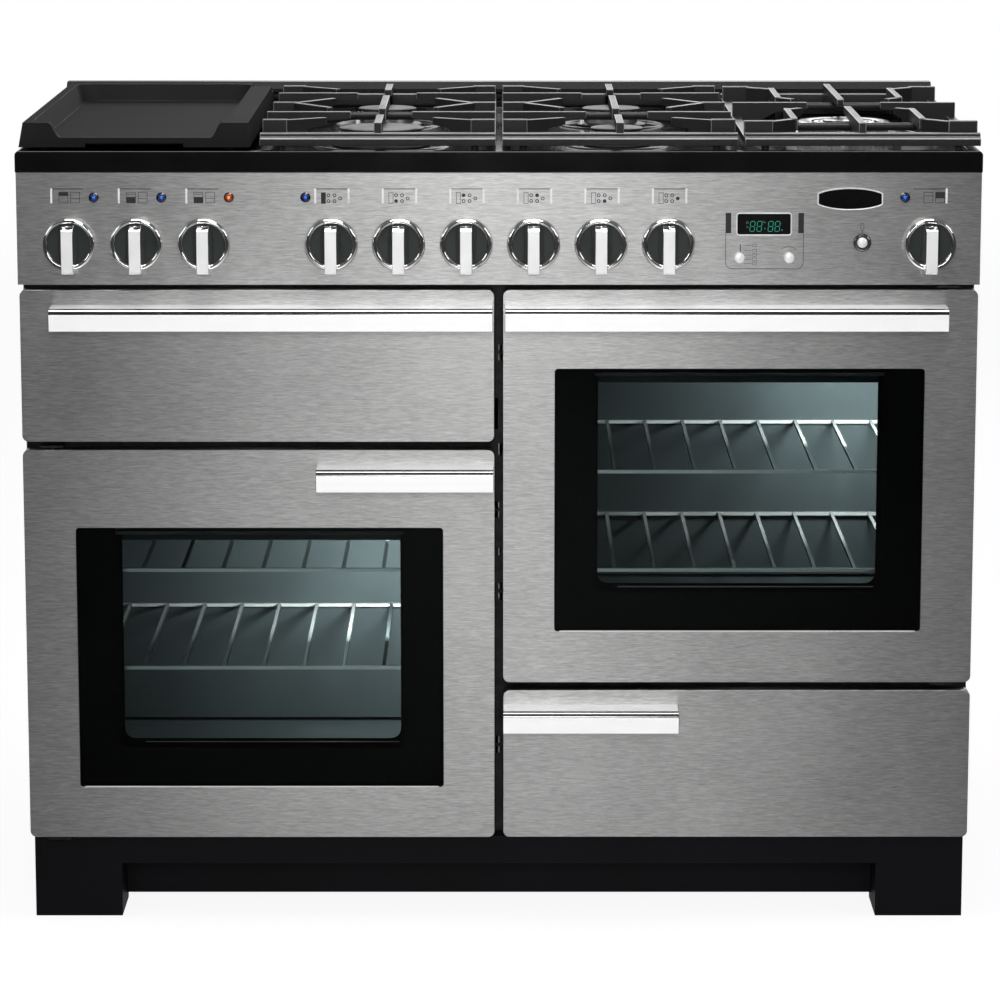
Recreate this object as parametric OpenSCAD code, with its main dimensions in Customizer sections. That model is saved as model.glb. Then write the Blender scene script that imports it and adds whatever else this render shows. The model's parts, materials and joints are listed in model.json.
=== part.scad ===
// Range cooker, 1100 mm wide, with two side-hinged ovens, a glide-out grill, a storage
// drawer, a five-burner gas hob, one glass-ceramic zone and a cast griddle.
// X runs to the right, -Y is the front, Z is up, and the feet stand on Z = 0.

/* [Overall] */
// Width across the hob trim
cooker_w = 1100; // [1060:5:1180]
// Depth from the door faces to the rear panel
body_d = 608; // [590:2:660]
// How far the door handles stand out from the doors
handle_out = 40; // [30:1:50]
// Height of the plinth and the base above the floor
plinth_h = 98; // [80:1:140]

/* [Doors and drawers] */
// Height of an oven door
oven_door_h = 459; // [440:1:500]
// Height of the grill front and of the storage drawer front
drawer_h = 176; // [160:1:200]
// Gap between the two columns of doors
column_gap = 10; // [6:1:16]
// Gap between a door and the drawer above or below it
row_gap = 9.5; // [8:0.5:12]
// Gap between the plinth and the lowest doors
base_gap = 4; // [3.5:0.5:8]
// Gap between the doors and the control panel
panel_gap = 6; // [5:0.5:10]
// How far the doors stay inside the hob trim at each side
door_inset = 2.5; // [1:0.5:6]
// Thickness of a door over its inner panel
door_t = 42; // [38:1:45]
// Depth of the folded edge of a door or drawer front
skin_d = 18; // [12:1:18]
// Corner radius of a door or drawer front
door_r = 7.5; // [4:0.5:12]
// Width of a door window
window_w = 424; // [380:2:430]
// Height of a door window
window_h = 308; // [260:2:320]
// Height of the window's lower edge above the door's lower edge
window_up = 60; // [50:1:80]

/* [Handles] */
// Height of a handle
handle_h = 26; // [22:1:32]
// Distance from the top of a door to the top of its handle
handle_drop = 17; // [10:1:30]
// Length of the two long handles
long_handle = 504; // [400:2:510]
// Length of the two short handles
short_handle = 203; // [120:1:260]

/* [Controls] */
// Height of the control panel
panel_h = 128; // [120:1:150]
// Height of the knob centres above the control panel's lower edge
knob_up = 47; // [40:1:56]
// Diameter of a control knob
knob_d = 60.5; // [50:0.5:66]
// How far a knob stands out from the control panel
knob_out = 30; // [24:1:34]
// Distance between neighbouring knobs in a group
knob_pitch = 76.8; // [72:0.2:80]
// Diameter of a switch or tap spindle
spindle_d = 6; // [5:0.5:8]
// Diameter of a clock setting knob
clock_knob_d = 12; // [9:0.5:14]
// Diameter of the oven light button
button_d = 13; // [10:0.5:16]
// Travel of the oven light button
button_travel = 2.5; // [1.5:0.5:3.5]

/* [Ovens] */
// Distance from a door's edge to the inside wall of its oven
oven_wall = 46.25; // [42:0.25:54]
// Inside height of an oven
cavity_h = 370; // [350:2:380]
// Inside depth of the ovens and of the grill compartment
cavity_d = 420; // [390:2:440]
// Height of an oven floor above its door's lower edge
cavity_up = 38; // [34:1:44]
// Thickness of the insulation round an oven
wool_t = 24; // [16:1:24]
// Distance between the wires of an oven shelf
wire_pitch = 47; // [30:1:60]
// Diameter of a convection fan
fan_d = 150; // [110:2:160]

/* [Grill drawer] */
// Inside height of the grill compartment
grill_cavity_h = 150; // [140:1:156]
// Length of the grill drawer's runners
runner_l = 380; // [360:2:385]

/* [Storage drawer] */
// Inside width of the storage drawer's box
box_w = 446; // [400:2:450]
// Outside height of the storage drawer's box
box_h = 110; // [80:1:120]
// Length of the storage drawer's box
box_l = 470; // [400:5:500]

/* [Hob] */
// Height of the hob's front trim
trim_h = 24.5; // [20:0.5:30]
// Depth of the hob surface below the trim's top edge
hob_recess = 10; // [6:0.5:14]
// Height of the pan supports and the griddle above the trim
grate_h = 30; // [24:1:34]
// Gap between neighbouring pan supports
support_gap = 7.5; // [5:0.5:10]
// Width of a pan support's bars
bar_w = 11; // [8:1:14]
// Width of the griddle
griddle_w = 264; // [240:1:264]
// Diameter of the small burner cap
cap_small = 63; // [50:1:70]
// Diameter of the two middle burner caps
cap_middle = 72; // [60:1:80]
// Diameter of the large burner cap
cap_large = 101; // [85:1:104]
// Diameter of the wok burner's outer ring
wok_ring = 112; // [100:1:120]
// Height of the rear vent rail above the trim
vent_h = 31; // [24:1:40]

/* [Hidden] */
$fn = 64;

// Sheet thickness, running clearance and the depth places of the main planes
sheet = 2;
clear = 0.3;
total_d = body_d + handle_out;
front_y = handle_out - total_d / 2;
rear_y = total_d / 2;
seal_t = 4;
door_back_y = front_y + door_t;
frame_y = door_back_y + seal_t;
cavity_y = frame_y + sheet;
cavity_rear_y = cavity_y + cavity_d;

// Heights of the rows, from the floor up
low_z = plinth_h + base_gap;
upper_oven_z = low_z + drawer_h + row_gap;
grill_z = low_z + oven_door_h + row_gap;
doors_top = grill_z + drawer_h;
panel_z = doors_top + panel_gap;
panel_top = panel_z + panel_h;
hob_z = panel_top + trim_h;
hob_floor = hob_z - hob_recess;
grate_top = hob_z + grate_h;
oven_shift = upper_oven_z - low_z;

// Widths
trim_x = cooker_w / 2;
side_x = trim_x - door_inset + 0.5;
door_x = trim_x - door_inset;
door_w = door_x - column_gap / 2;
door_mid = column_gap / 2 + door_w / 2;
cavity_w = door_w - 2 * oven_wall;
cavity_z = low_z + cavity_up;
grill_cavity_z = grill_z + 14;

// Door hinge: the pin stands just inboard of the door's outer edge
pin_in = 33.5;
pin_x = door_x - pin_in;
pin_y = front_y + 6.5;
pin_d = 6;
pin_grip = 12;
pivot_block = 13;
liner_in = pin_in + 0.5;

// Knob places along the control panel
knob_z = panel_z + knob_up;
left_knob_in = 60.5;
right_knob_in = 59;
left_knob_x = left_knob_in - trim_x;
right_knob_x = trim_x - right_knob_in;
zone_knob_x = -190.8;
SWITCH_X = [left_knob_x, left_knob_x + knob_pitch, left_knob_x + 2 * knob_pitch,
  zone_knob_x, right_knob_x];
GAS_X = [for (i = [1 : 5]) zone_knob_x + i * knob_pitch];
KNOB_X = concat(SWITCH_X, GAS_X);
knob_lift = 0.5;
spindle_out = knob_out - 12;

// Lamps, display, clock and light button on the control panel
lamp_z = panel_z + 100;
lamp_d = 12;
lamp_shift = 29;
LAMP_X = [left_knob_x + lamp_shift, left_knob_x + knob_pitch + lamp_shift,
  left_knob_x + 2 * knob_pitch + lamp_shift, zone_knob_x - lamp_shift,
  right_knob_x - lamp_shift];
button_in = 77;
button_x = right_knob_x - button_in;
display_in = 112;
display_x = button_x - display_in;
display_w = 61;
display_h = 24;
display_z = panel_z + 69.5;
clock_span = 56.6;
clock_z = panel_z + 31.8;
clock_spindle_d = 3;
clock_out = 12;
clock_half = 44;
clock_l = 34;
clock_up = 14;
button_z = panel_z + 48.5;
bezel_d = 20.6;

// Hob plan: pan supports run in a row from the right edge, the griddle from the left
edge_gap = 0.5;
griddle_edge = 2;
griddle_gap = 11.5;
support_row = 2 * trim_x - edge_gap - griddle_edge - griddle_w - griddle_gap;
support_w = (support_row - 2 * support_gap) / 3;
vent_depth = 28;
vent_pitch = 150;
vent_half = 62;
leg_in = 24;
leg_d = 9;
support_front = 20;
support_rear_gap = 4;
support_depth = body_d - vent_depth - support_front - support_rear_gap;
wok_mid_x = trim_x - edge_gap - support_w / 2;
centre_mid_x = wok_mid_x - support_w - support_gap;
left_mid_x = centre_mid_x - support_w - support_gap;
griddle_x0 = -trim_x + griddle_edge;
griddle_front = 25;
griddle_rear_gap = 2;
griddle_depth = body_d - vent_depth - griddle_front - griddle_rear_gap;
burner_front = 172;
burner_rear = 434;
wok_depth = 298;
BURNERS = [
  [left_mid_x, burner_front, cap_large], [left_mid_x, burner_rear, cap_middle],
  [centre_mid_x, burner_front, cap_small], [centre_mid_x, burner_rear, cap_middle]
];
head_h = 19;
cap_h = 4;
wok_head_h = 15;
wok_crown_h = 17;
wok_cap_h = 3;
cup_h = 24;
low_bar_z = hob_z + 4;
low_bar_top = hob_z + 13;
step_in = 6;
step_w = 10;
step_top = hob_z + 18.5;
cross_d = 9.5;
cross_in = 135;
spine_z = hob_floor + head_h + cap_h + 2;

// Fans, motors and elements
fan_y = cavity_rear_y - 20;
fan_t = 14;
shaft_d = 8;
shaft_in = 20;
fan_hub = 26;
motor_d = 70;
motor_l = 42;
neck_d = 20;
rod_d = 6.5;
baffle_y = fan_y - fan_t - 8;
shelf_d = baffle_y - cavity_y - 14;
rung_gap = 29.25;
rung_t = 5;
left_rung_low = 27;
right_rung_low = 17;
LEFT_RUNGS = [4, 8];
RIGHT_RUNGS = [2, 6];
shelf_t = 4;

// Grill drawer runners, from the compartment wall inward
rail_h = 22;
rail_d = 13;
rail_z = grill_cavity_z + 34;
runner_y = cavity_y + 2;
mid_lead = 6;
pan_h = 34;

// Storage drawer
box_x = door_mid;
box_z = low_z + 22;
ledge = 14;
ledge_z = box_z + 46;

module box(x0, x1, y0, y1, z0, z1) {
  translate([x0, y0, z0]) cube([x1 - x0, y1 - y0, z1 - z0]);
}

// Extrudes an outline drawn in X and Z between two places along Y
module along_y(y0, y1) {
  translate([0, y1, 0]) rotate([90, 0, 0]) linear_extrude(y1 - y0) children();
}

// Extrudes an outline drawn in Y and Z between two places along X
module along_x(x0, x1) {
  translate([x0, 0, 0]) rotate([90, 0, 90]) linear_extrude(x1 - x0) children();
}

// Round bar, drilled hole or disc along Y
module rod_y(x, z, d, y0, y1) {
  translate([x, y1, z]) rotate([90, 0, 0]) cylinder(d = d, h = y1 - y0);
}

module rod_x(y, z, d, x0, x1) {
  translate([x0, y, z]) rotate([0, 90, 0]) cylinder(d = d, h = x1 - x0);
}

module rod_z(x, y, d, z0, z1) {
  translate([x, y, z0]) cylinder(d = d, h = z1 - z0);
}

// Rounded rectangle between two corners
module round_rect(x0, x1, z0, z1, r) {
  translate([x0 + r, z0]) square([x1 - x0 - 2 * r, z1 - z0]);
  translate([x0, z0 + r]) square([x1 - x0, z1 - z0 - 2 * r]);
  for (x = [x0 + r, x1 - r]) {
    for (z = [z0 + r, z1 - r]) {
      translate([x, z]) circle(r = r);
    }
  }
}

// Folded sheet front: a plate with rounded corners and an edge turned back
module pan_front(x0, x1, z0, z1) {
  along_y(front_y, front_y + sheet) round_rect(x0, x1, z0, z1, door_r);
  along_y(front_y + sheet, front_y + skin_d) difference() {
    round_rect(x0, x1, z0, z1, door_r);
    round_rect(x0 + sheet, x1 - sheet, z0 + sheet, z1 - sheet, door_r - sheet);
  }
}

// Mirrors a left-hand oven piece over to the higher right-hand oven
module to_right_oven() {
  translate([0, 0, oven_shift]) mirror([1, 0, 0]) children();
}

module both_ovens() {
  children();
  to_right_oven() children();
}

// Chassis: base pan and centre divider
module chassis() {
  color("dimgray") {
    box(-side_x + sheet, side_x - sheet, frame_y + sheet, rear_y - sheet,
      plinth_h, plinth_h + sheet);
    box(-sheet / 2, sheet / 2, frame_y + sheet, rear_y - sheet,
      plinth_h + sheet, doors_top - 6);
  }
}

module side_panels() {
  color("dimgray") for (s = [0, 1]) mirror([s, 0, 0])
    box(side_x - sheet, side_x, frame_y, rear_y - sheet, plinth_h, panel_top);
}

module back_panel() {
  louvre_x = 300;
  louvre_w = 120;
  louvre_h = 4;
  color("gray") difference() {
    box(-side_x, side_x, rear_y - sheet, rear_y, plinth_h, panel_top);
    for (x = [-louvre_x, 0, louvre_x]) {
      for (i = [0 : 5]) {
        box(x - louvre_w / 2, x + louvre_w / 2, rear_y - 2 * sheet, rear_y + sheet,
          panel_top - 40 - i * 10, panel_top - 40 - i * 10 + louvre_h);
      }
    }
    rod_y(gland_x, service_z, gland_d, rear_y - 2 * sheet, rear_y + sheet);
    rod_y(inlet_x, inlet_z, inlet_d + 2, rear_y - 2 * sheet, rear_y + sheet);
  }
}

// Front frame: the sheet behind the doors, open at each compartment
module front_frame() {
  top = panel_z + 6;
  color("gray") difference() {
    box(-side_x + sheet, side_x - sheet, frame_y, frame_y + sheet, plinth_h, top);
    along_y(frame_y - 1, frame_y + sheet + 1) union() {
      round_rect(-door_mid - cavity_w / 2, -door_mid + cavity_w / 2,
        cavity_z, cavity_z + cavity_h, 6);
      round_rect(door_mid - cavity_w / 2, door_mid + cavity_w / 2,
        cavity_z + oven_shift, cavity_z + oven_shift + cavity_h, 6);
      round_rect(-door_mid - cavity_w / 2, -door_mid + cavity_w / 2,
        grill_cavity_z, grill_cavity_z + grill_cavity_h, 3);
      round_rect(box_x - box_w / 2 - ledge - 8, box_x + box_w / 2 + ledge + 8,
        low_z + 8, low_z + drawer_h - 8, 3);
    }
    // Slots and holes up the centre stile, seen between the doors
    for (hole = STILE_HOLES) {
      box(hole[0] - 2.5, hole[0] + 2.5, frame_y - 1, frame_y + sheet + 1,
        low_z + hole[1] - hole[2] / 2, low_z + hole[1] + hole[2] / 2);
    }
  }
}

// Centre stile holes: X, height above the doors' lower edge, and length
STILE_HOLES = [[-1, 94, 8], [-1, 106, 8], [2, 278, 8], [2, 290, 8], [0, 331, 9],
  [-2, 375, 8], [-2, 386, 8], [2, 452, 14], [-3, 494, 36], [2, 560, 8], [2, 571, 8]];

// Plinth: front board with two standing ends, a set-back toe board and side boards
plinth_x = trim_x - 5;
plinth_set = 20;
plinth_end = 102;
plinth_notch = 33;
toe_set = 66;
toe_lift = 24;
board_t = 14;
floor_gap = 1;
module plinth() {
  y0 = front_y + plinth_set;
  notch_x = plinth_x - plinth_end;
  color([0.08, 0.08, 0.08]) {
    along_y(y0, y0 + board_t) difference() {
      translate([-plinth_x, floor_gap]) square([2 * plinth_x, plinth_h - floor_gap]);
      translate([-notch_x, floor_gap - 1])
        square([2 * notch_x, plinth_h - plinth_notch - floor_gap + 1]);
    }
    for (s = [0, 1]) mirror([s, 0, 0]) {
      box(plinth_x - board_t, plinth_x, y0 + board_t, rear_y - 40, floor_gap, plinth_h);
      box(notch_x, notch_x + board_t, y0 + board_t, y0 + toe_set + board_t,
        floor_gap, plinth_h);
    }
    box(-notch_x, notch_x, y0 + toe_set, y0 + toe_set + board_t, toe_lift, plinth_h);
  }
}

foot_d = 44;
foot_h = 9;
stem_d = 14;
foot_in = 60;
module levelling_feet() {
  color("silver") for (x = [-trim_x + foot_in, trim_x - foot_in]) {
    for (y = [front_y + plinth_set + 60, rear_y - 50]) {
      rod_z(x, y, foot_d, 0, foot_h);
      rod_z(x, y, stem_d, foot_h - 1, plinth_h);
      rod_z(x, y, stem_d + 10, plinth_h - 8, plinth_h);
    }
  }
}

// Hob tray: enamelled top with a deep trim edge and a sunk floor
rim_w = 16;
trim_r = 5;
skirt_t = 3;
module trim_outline(x, z0, z1) {
  translate([-x, z0]) square([2 * x, z1 - z0 - trim_r]);
  translate([-x + trim_r, z1 - trim_r]) square([2 * x - 2 * trim_r, trim_r]);
  for (s = [-1, 1]) translate([s * (x - trim_r), z1 - trim_r]) circle(r = trim_r);
}
module hob_tray() {
  inner_x = trim_x - rim_w;
  tray_front = front_y + rim_w;
  tray_rear = rear_y - vent_depth - 4;
  color([0.05, 0.05, 0.05]) difference() {
    along_y(front_y, rear_y) trim_outline(trim_x, panel_top, hob_z);
    box(-inner_x, inner_x, tray_front, tray_rear, hob_floor, hob_z + 1);
    box(-trim_x + skirt_t, trim_x - skirt_t, front_y + skirt_t, rear_y - skirt_t,
      panel_top - 1, hob_floor - skirt_t);
    for (b = BURNERS) rod_z(b[0], front_y + b[1], b[2] - 10, panel_top, hob_z);
    rod_z(wok_mid_x, front_y + wok_depth, wok_ring - 8, panel_top, hob_z);
    box(griddle_x0 + zone_in, griddle_x0 + griddle_w - zone_in,
      front_y + zone_front, front_y + zone_front + zone_l, panel_top, hob_z);
  }
}

// Vent rail: a hollow bar along the rear edge with slots in its sloping face
module vent_rail() {
  y0 = rear_y - vent_depth;
  z1 = hob_z + vent_h;
  color([0.06, 0.06, 0.06]) difference() {
    along_x(-trim_x + edge_gap, trim_x - edge_gap) polygon([
      [y0, hob_z], [rear_y, hob_z], [rear_y, z1], [y0 + 9, z1], [y0, z1 - 8]
    ]);
    along_x(-trim_x + 4, trim_x - 4) polygon([
      [y0 + 3, hob_z - 1], [rear_y - 3, hob_z - 1], [rear_y - 3, z1 - 3],
      [y0 + 10, z1 - 3], [y0 + 3, z1 - 9]
    ]);
    for (i = [-3 : 3]) {
      for (j = [0 : 1]) {
        box(i * vent_pitch - vent_half, i * vent_pitch + vent_half, y0 - 1, y0 + 4,
          hob_z + 7 + j * 8, hob_z + 10 + j * 8);
      }
    }
  }
}

// Glass-ceramic zone under the griddle
zone_in = 44;
zone_front = 70;
zone_l = 440;
glass_t = 4;
module ceramic_zone() {
  x0 = griddle_x0 + zone_in;
  x1 = griddle_x0 + griddle_w - zone_in;
  y0 = front_y + zone_front;
  color([0.1, 0.1, 0.12]) union() {
    box(x0 + clear, x1 - clear, y0 + clear, y0 + zone_l - clear,
      hob_floor - skirt_t, hob_floor);
    box(x0 - 8, x1 + 8, y0 - 8, y0 + zone_l + 8, hob_floor, hob_floor + glass_t);
  }
}

// Control panel: a folded stainless front with holes for every control
panel_x = trim_x - 1;
panel_return = 36;
module control_panel() {
  color("silver") difference() {
    union() {
      box(-panel_x, panel_x, front_y, front_y + sheet, panel_z, panel_top);
      box(-panel_x, panel_x, front_y + sheet, front_y + panel_return,
        panel_z, panel_z + sheet);
      box(-panel_x, panel_x, front_y + sheet, front_y + panel_return,
        panel_top - sheet, panel_top);
      for (s = [0, 1]) mirror([s, 0, 0])
        box(panel_x - sheet, panel_x, front_y + sheet, frame_y, panel_z, panel_top);
    }
    for (x = KNOB_X) rod_y(x, knob_z, spindle_d + 3, front_y - 1, front_y + sheet + 1);
    for (x = LAMP_X) rod_y(x, lamp_z, lamp_d - 2, front_y - 1, front_y + sheet + 1);
    for (s = [-1, 1]) rod_y(display_x + s * clock_span / 2, clock_z,
      clock_spindle_d + 2, front_y - 1, front_y + sheet + 1);
    rod_y(button_x, button_z, button_d + 3, front_y - 1, front_y + sheet + 1);
    box(display_x - display_w / 2, display_x + display_w / 2,
      front_y - 1, front_y + sheet + 1, display_z - display_h / 2,
      display_z + display_h / 2);
  }
}

// Lamp lenses and the clock's window
lens_out = 1.5;
module panel_lenses() {
  color([0.15, 0.4, 0.8]) {
    for (x = LAMP_X) {
      rod_y(x, lamp_z, lamp_d, front_y - lens_out, front_y);
      rod_y(x, lamp_z, lamp_d - 2 - 2 * clear, front_y, front_y + 14);
    }
    box(display_x - display_w / 2 + clear, display_x + display_w / 2 - clear,
      front_y + 0.2, front_y + sheet, display_z - display_h / 2 + clear,
      display_z + display_h / 2 - clear);
    box(display_x - display_w / 2 - 4, display_x + display_w / 2 + 4,
      front_y + sheet, front_y + 2 * sheet, display_z - display_h / 2 - 4,
      display_z + display_h / 2 + 4);
  }
}

// Switches, clock module and ignition unit behind the panel, each with its spindle
switch_w = 40;
switch_l = 30;
module switch_bodies() {
  back = front_y + sheet;
  color([0.25, 0.25, 0.28]) {
    for (x = SWITCH_X) {
      rod_y(x, knob_z, spindle_d + 8, back, back + 4);
      box(x - switch_w / 2, x + switch_w / 2, back + 4, back + 4 + switch_l,
        knob_z - switch_w / 2, knob_z + switch_w / 2);
      rod_y(x, knob_z, spindle_d, front_y - spindle_out, back);
    }
    box(display_x - clock_half, display_x + clock_half, back + sheet, back + clock_l,
      panel_z + clock_up,
      display_z + display_h / 2 + 8);
    for (s = [-1, 1]) rod_y(display_x + s * clock_span / 2, clock_z, clock_spindle_d,
      front_y - clock_out + 4, back + sheet);
    difference() {
      union() {
        rod_y(button_x, button_z, bezel_d, front_y - 3, front_y);
        rod_y(button_x, button_z, button_d + 3 - 2 * clear, front_y, back + 18);
      }
      rod_y(button_x, button_z, button_d + 2 * clear, front_y - 4, back + 14);
    }
  }
}

// Gas rail with five taps, and a feed pipe from each tap to its burner
rail_pipe_d = 16;
feed_d = 7;
tap_w = 24;
gas_y = front_y + 58;
gas_z = knob_z - 22;
feed_z = hob_floor - skirt_t - cup_h + 8;
function cup_r(cap) = (cap - 14) / 2;
// Square elbow fitting where a pipe turns
module elbow(x, y, z, pipe) {
  w = pipe + 4;
  translate([x - w / 2, y - w / 2, z - w / 2]) cube(w);
}
// Feed pipe from a tap: up, back, and then across to the burner's cup where it stands aside
module feed(tap_x, burner_x, depth, cap) {
  aside = burner_x - tap_x;
  way = aside < 0 ? -1 : 1;
  straight = abs(aside) < cup_r(cap);
  into = straight ? sqrt(cup_r(cap) ^ 2 - (abs(aside) - feed_d / 2) ^ 2) + clear : 0;
  rod_z(tap_x, gas_y, feed_d, knob_z, feed_z);
  elbow(tap_x, gas_y, feed_z, feed_d);
  rod_y(tap_x, feed_z, feed_d, gas_y, front_y + depth - into);
  if (!straight) {
    run = abs(aside) - cup_r(cap) - clear;
    elbow(tap_x, front_y + depth, feed_z, feed_d);
    rod_x(front_y + depth, feed_z, feed_d, min(tap_x, tap_x + way * run),
      max(tap_x, tap_x + way * run));
  }
}
module gas_rail() {
  color("goldenrod") difference() {
    union() {
      rod_x(gas_y, gas_z, rail_pipe_d, inlet_x, GAS_X[4] + 40);
      rod_y(inlet_x, gas_z, rail_pipe_d, gas_y, rear_y - inlet_l);
      elbow(inlet_x, gas_y, gas_z, rail_pipe_d);
      for (x = GAS_X) {
        rod_y(x, knob_z, spindle_d + 8, front_y + sheet, front_y + sheet + 8);
        box(x - tap_w / 2, x + tap_w / 2, front_y + sheet + 8, gas_y + 12,
          knob_z - 18, knob_z + 18);
        rod_y(x, knob_z, spindle_d, front_y - spindle_out, front_y + sheet);
      }
      feed(GAS_X[0], left_mid_x, burner_front, cap_large);
      feed(GAS_X[1], left_mid_x, burner_rear, cap_middle);
      feed(GAS_X[2], centre_mid_x, burner_rear, cap_middle);
      feed(GAS_X[3], centre_mid_x, burner_front, cap_small);
      feed(GAS_X[4], wok_mid_x, wok_depth, wok_ring);
    }
    rod_x(gas_y, gas_z, rail_pipe_d - 3, inlet_x, GAS_X[4] + 36);
    rod_y(inlet_x, gas_z, rail_pipe_d - 3, gas_y, rear_y - inlet_l + 1);
  }
}

// Burner cups, slotted heads and spark electrodes
module burner(x, d, cap) {
  y = front_y + d;
  slots = 20;
  rod_z(x, y, cap + 16, hob_floor, hob_floor + 3);
  rod_z(x, y, cap - 14, hob_floor - skirt_t - cup_h, hob_floor + 1);
  translate([x, y, hob_floor + 2]) linear_extrude(head_h - 2) difference() {
    circle(d = cap - 6);
    for (i = [0 : slots - 1]) rotate(i * 360 / slots)
      translate([cap / 2 - 10, -1.2]) square([12, 2.4]);
  }
}
module burner_bodies() {
  color([0.7, 0.7, 0.68]) {
    for (b = BURNERS) {
      burner(b[0], b[1], b[2]);
      rod_z(b[0] + b[2] / 2 + 14, front_y + b[1] + 8, 5, hob_floor, hob_floor + 12);
    }
    wok_burner();
  }
}
module wok_burner() {
  y = front_y + wok_depth;
  rod_z(wok_mid_x, y, wok_ring + 24, hob_floor, hob_floor + 3);
  rod_z(wok_mid_x, y, wok_ring - 14, hob_floor - skirt_t - cup_h, hob_floor + 1);
  translate([wok_mid_x, y, hob_floor + 2]) linear_extrude(wok_head_h - 2) difference() {
    circle(d = wok_ring - 6);
    circle(d = wok_ring - 26);
    for (i = [0 : 23]) rotate(i * 15)
      translate([wok_ring / 2 - 10, -1.2]) square([12, 2.4]);
  }
  translate([wok_mid_x, y, hob_floor + 2]) linear_extrude(wok_crown_h - 2) difference() {
    circle(d = wok_ring / 2 + 4);
    for (i = [0 : 15]) rotate(i * 22.5)
      translate([wok_ring / 4 - 6, -1.2]) square([12, 2.4]);
  }
}

module burner_caps() {
  color([0.12, 0.12, 0.12]) {
    for (b = BURNERS) {
      rod_z(b[0], front_y + b[1], b[2], hob_floor + head_h, hob_floor + head_h + cap_h);
    }
    translate([wok_mid_x, front_y + wok_depth, hob_floor + wok_head_h])
      linear_extrude(wok_cap_h) difference() {
        circle(d = wok_ring);
        circle(d = wok_ring - 30);
      }
    rod_z(wok_mid_x, front_y + wok_depth, wok_ring / 2 - 6, hob_floor + wok_crown_h,
      hob_floor + wok_crown_h + wok_cap_h);
  }
}

// Steel box of a compartment, open at the front, with a flange against the frame
module liner_box(z0, h) {
  x0 = -door_mid - cavity_w / 2;
  x1 = -door_mid + cavity_w / 2;
  difference() {
    union() {
      box(x0 - sheet, x1 + sheet, cavity_y, cavity_rear_y + sheet, z0 - sheet, z0 + h + sheet);
      box(x0 - 10, x1 + 10, cavity_y, cavity_y + sheet, z0 - 10, z0 + h + 10);
    }
    box(x0, x1, cavity_y - 1, cavity_rear_y, z0, z0 + h);
    children();
  }
}

module grill_cavity() {
  color("gray") liner_box(grill_cavity_z, grill_cavity_h) {
    for (s = [-1, 1]) rod_y(-door_mid + s * grill_rod_end, grill_rod_z, rod_d + 2,
      cavity_rear_y - 1, cavity_rear_y + sheet + 1);
  }
}

module oven_liner() {
  fan_z = cavity_z + cavity_h / 2;
  liner_box(cavity_z, cavity_h) {
    rod_y(-door_mid, fan_z, shaft_d + 4, cavity_rear_y - 1, cavity_rear_y + sheet + 1);
    for (s = [-1, 1]) rod_y(-door_mid + s * 12, fan_z - ring_r, rod_d + 2,
      cavity_rear_y - 1, cavity_rear_y + sheet + 1);
  }
}

module left_oven_cavity() {
  color([0.2, 0.22, 0.24]) oven_liner();
}

module right_oven_cavity() {
  color([0.2, 0.22, 0.24]) to_right_oven() oven_liner();
}

// Side ladder of an oven: two posts on the wall and the rungs that carry the shelves
module ladder(low) {
  rungs = floor((cavity_h - low - 40) / rung_gap);
  x0 = -door_mid - cavity_w / 2 + clear;
  for (y = [cavity_y + 40, baffle_y - 40]) {
    box(x0, x0 + 4, y, y + rung_t, cavity_z + 12, cavity_z + cavity_h - 30);
  }
  for (i = [0 : rungs]) {
    z = cavity_z + low + i * rung_gap;
    box(x0 + 4, x0 + 4 + rung_t, cavity_y + 20, baffle_y - 6, z, z + rung_t);
  }
}

// Wire shelf: a frame with parallel wires from front to rear
module shelf(rung, low) {
  z = cavity_z + low + rung * rung_gap + rung_t + clear;
  half = cavity_w / 2 - clear - 4.5;
  wires = floor((2 * half - 8) / wire_pitch);
  translate([-door_mid, cavity_y + 12, z]) linear_extrude(shelf_t) difference() {
    translate([-half, 0]) square([2 * half, shelf_d]);
    for (i = [0 : wires]) {
      slot_0 = max(-half + 5, (i - (wires + 1) / 2) * wire_pitch + 2);
      slot_1 = min(half - 5, (i - (wires - 1) / 2) * wire_pitch - 2);
      translate([slot_0, 5]) square([slot_1 - slot_0, shelf_d - 10]);
    }
  }
}

// Fan baffle: a plate with ringed holes in front of the fan, on four posts
module baffle() {
  fan_z = cavity_z + cavity_h / 2;
  half_w = cavity_w / 2 - 5;
  half_h = cavity_h / 2 - 5;
  along_y(baffle_y, baffle_y + sheet) translate([-door_mid, fan_z]) difference() {
    translate([-half_w, -half_h]) square([2 * half_w, 2 * half_h]);
    circle(d = 10);
    for (ring = [1 : 3]) {
      for (i = [0 : 6 * ring - 1]) {
        rotate(i * 60 / ring) translate([ring * 18, 0]) circle(d = 10);
      }
    }
  }
  for (s = [-1, 1]) {
    for (t = [-1, 1]) {
      rod_y(-door_mid + s * (half_w - 12), fan_z + t * (half_h - 12), 8,
        baffle_y + sheet, cavity_rear_y);
    }
  }
}

// Everything that lifts out of one oven: baffle, two ladders and the shelves
module furniture(low, shelf_rungs) {
  baffle();
  ladder(low);
  translate([-2 * door_mid, 0, 0]) mirror([1, 0, 0]) ladder(low);
  for (rung = shelf_rungs) shelf(rung, low);
}

module oven_furniture() {
  color("silver") {
    furniture(left_rung_low, LEFT_RUNGS);
    to_right_oven() furniture(right_rung_low, RIGHT_RUNGS);
  }
}

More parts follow.
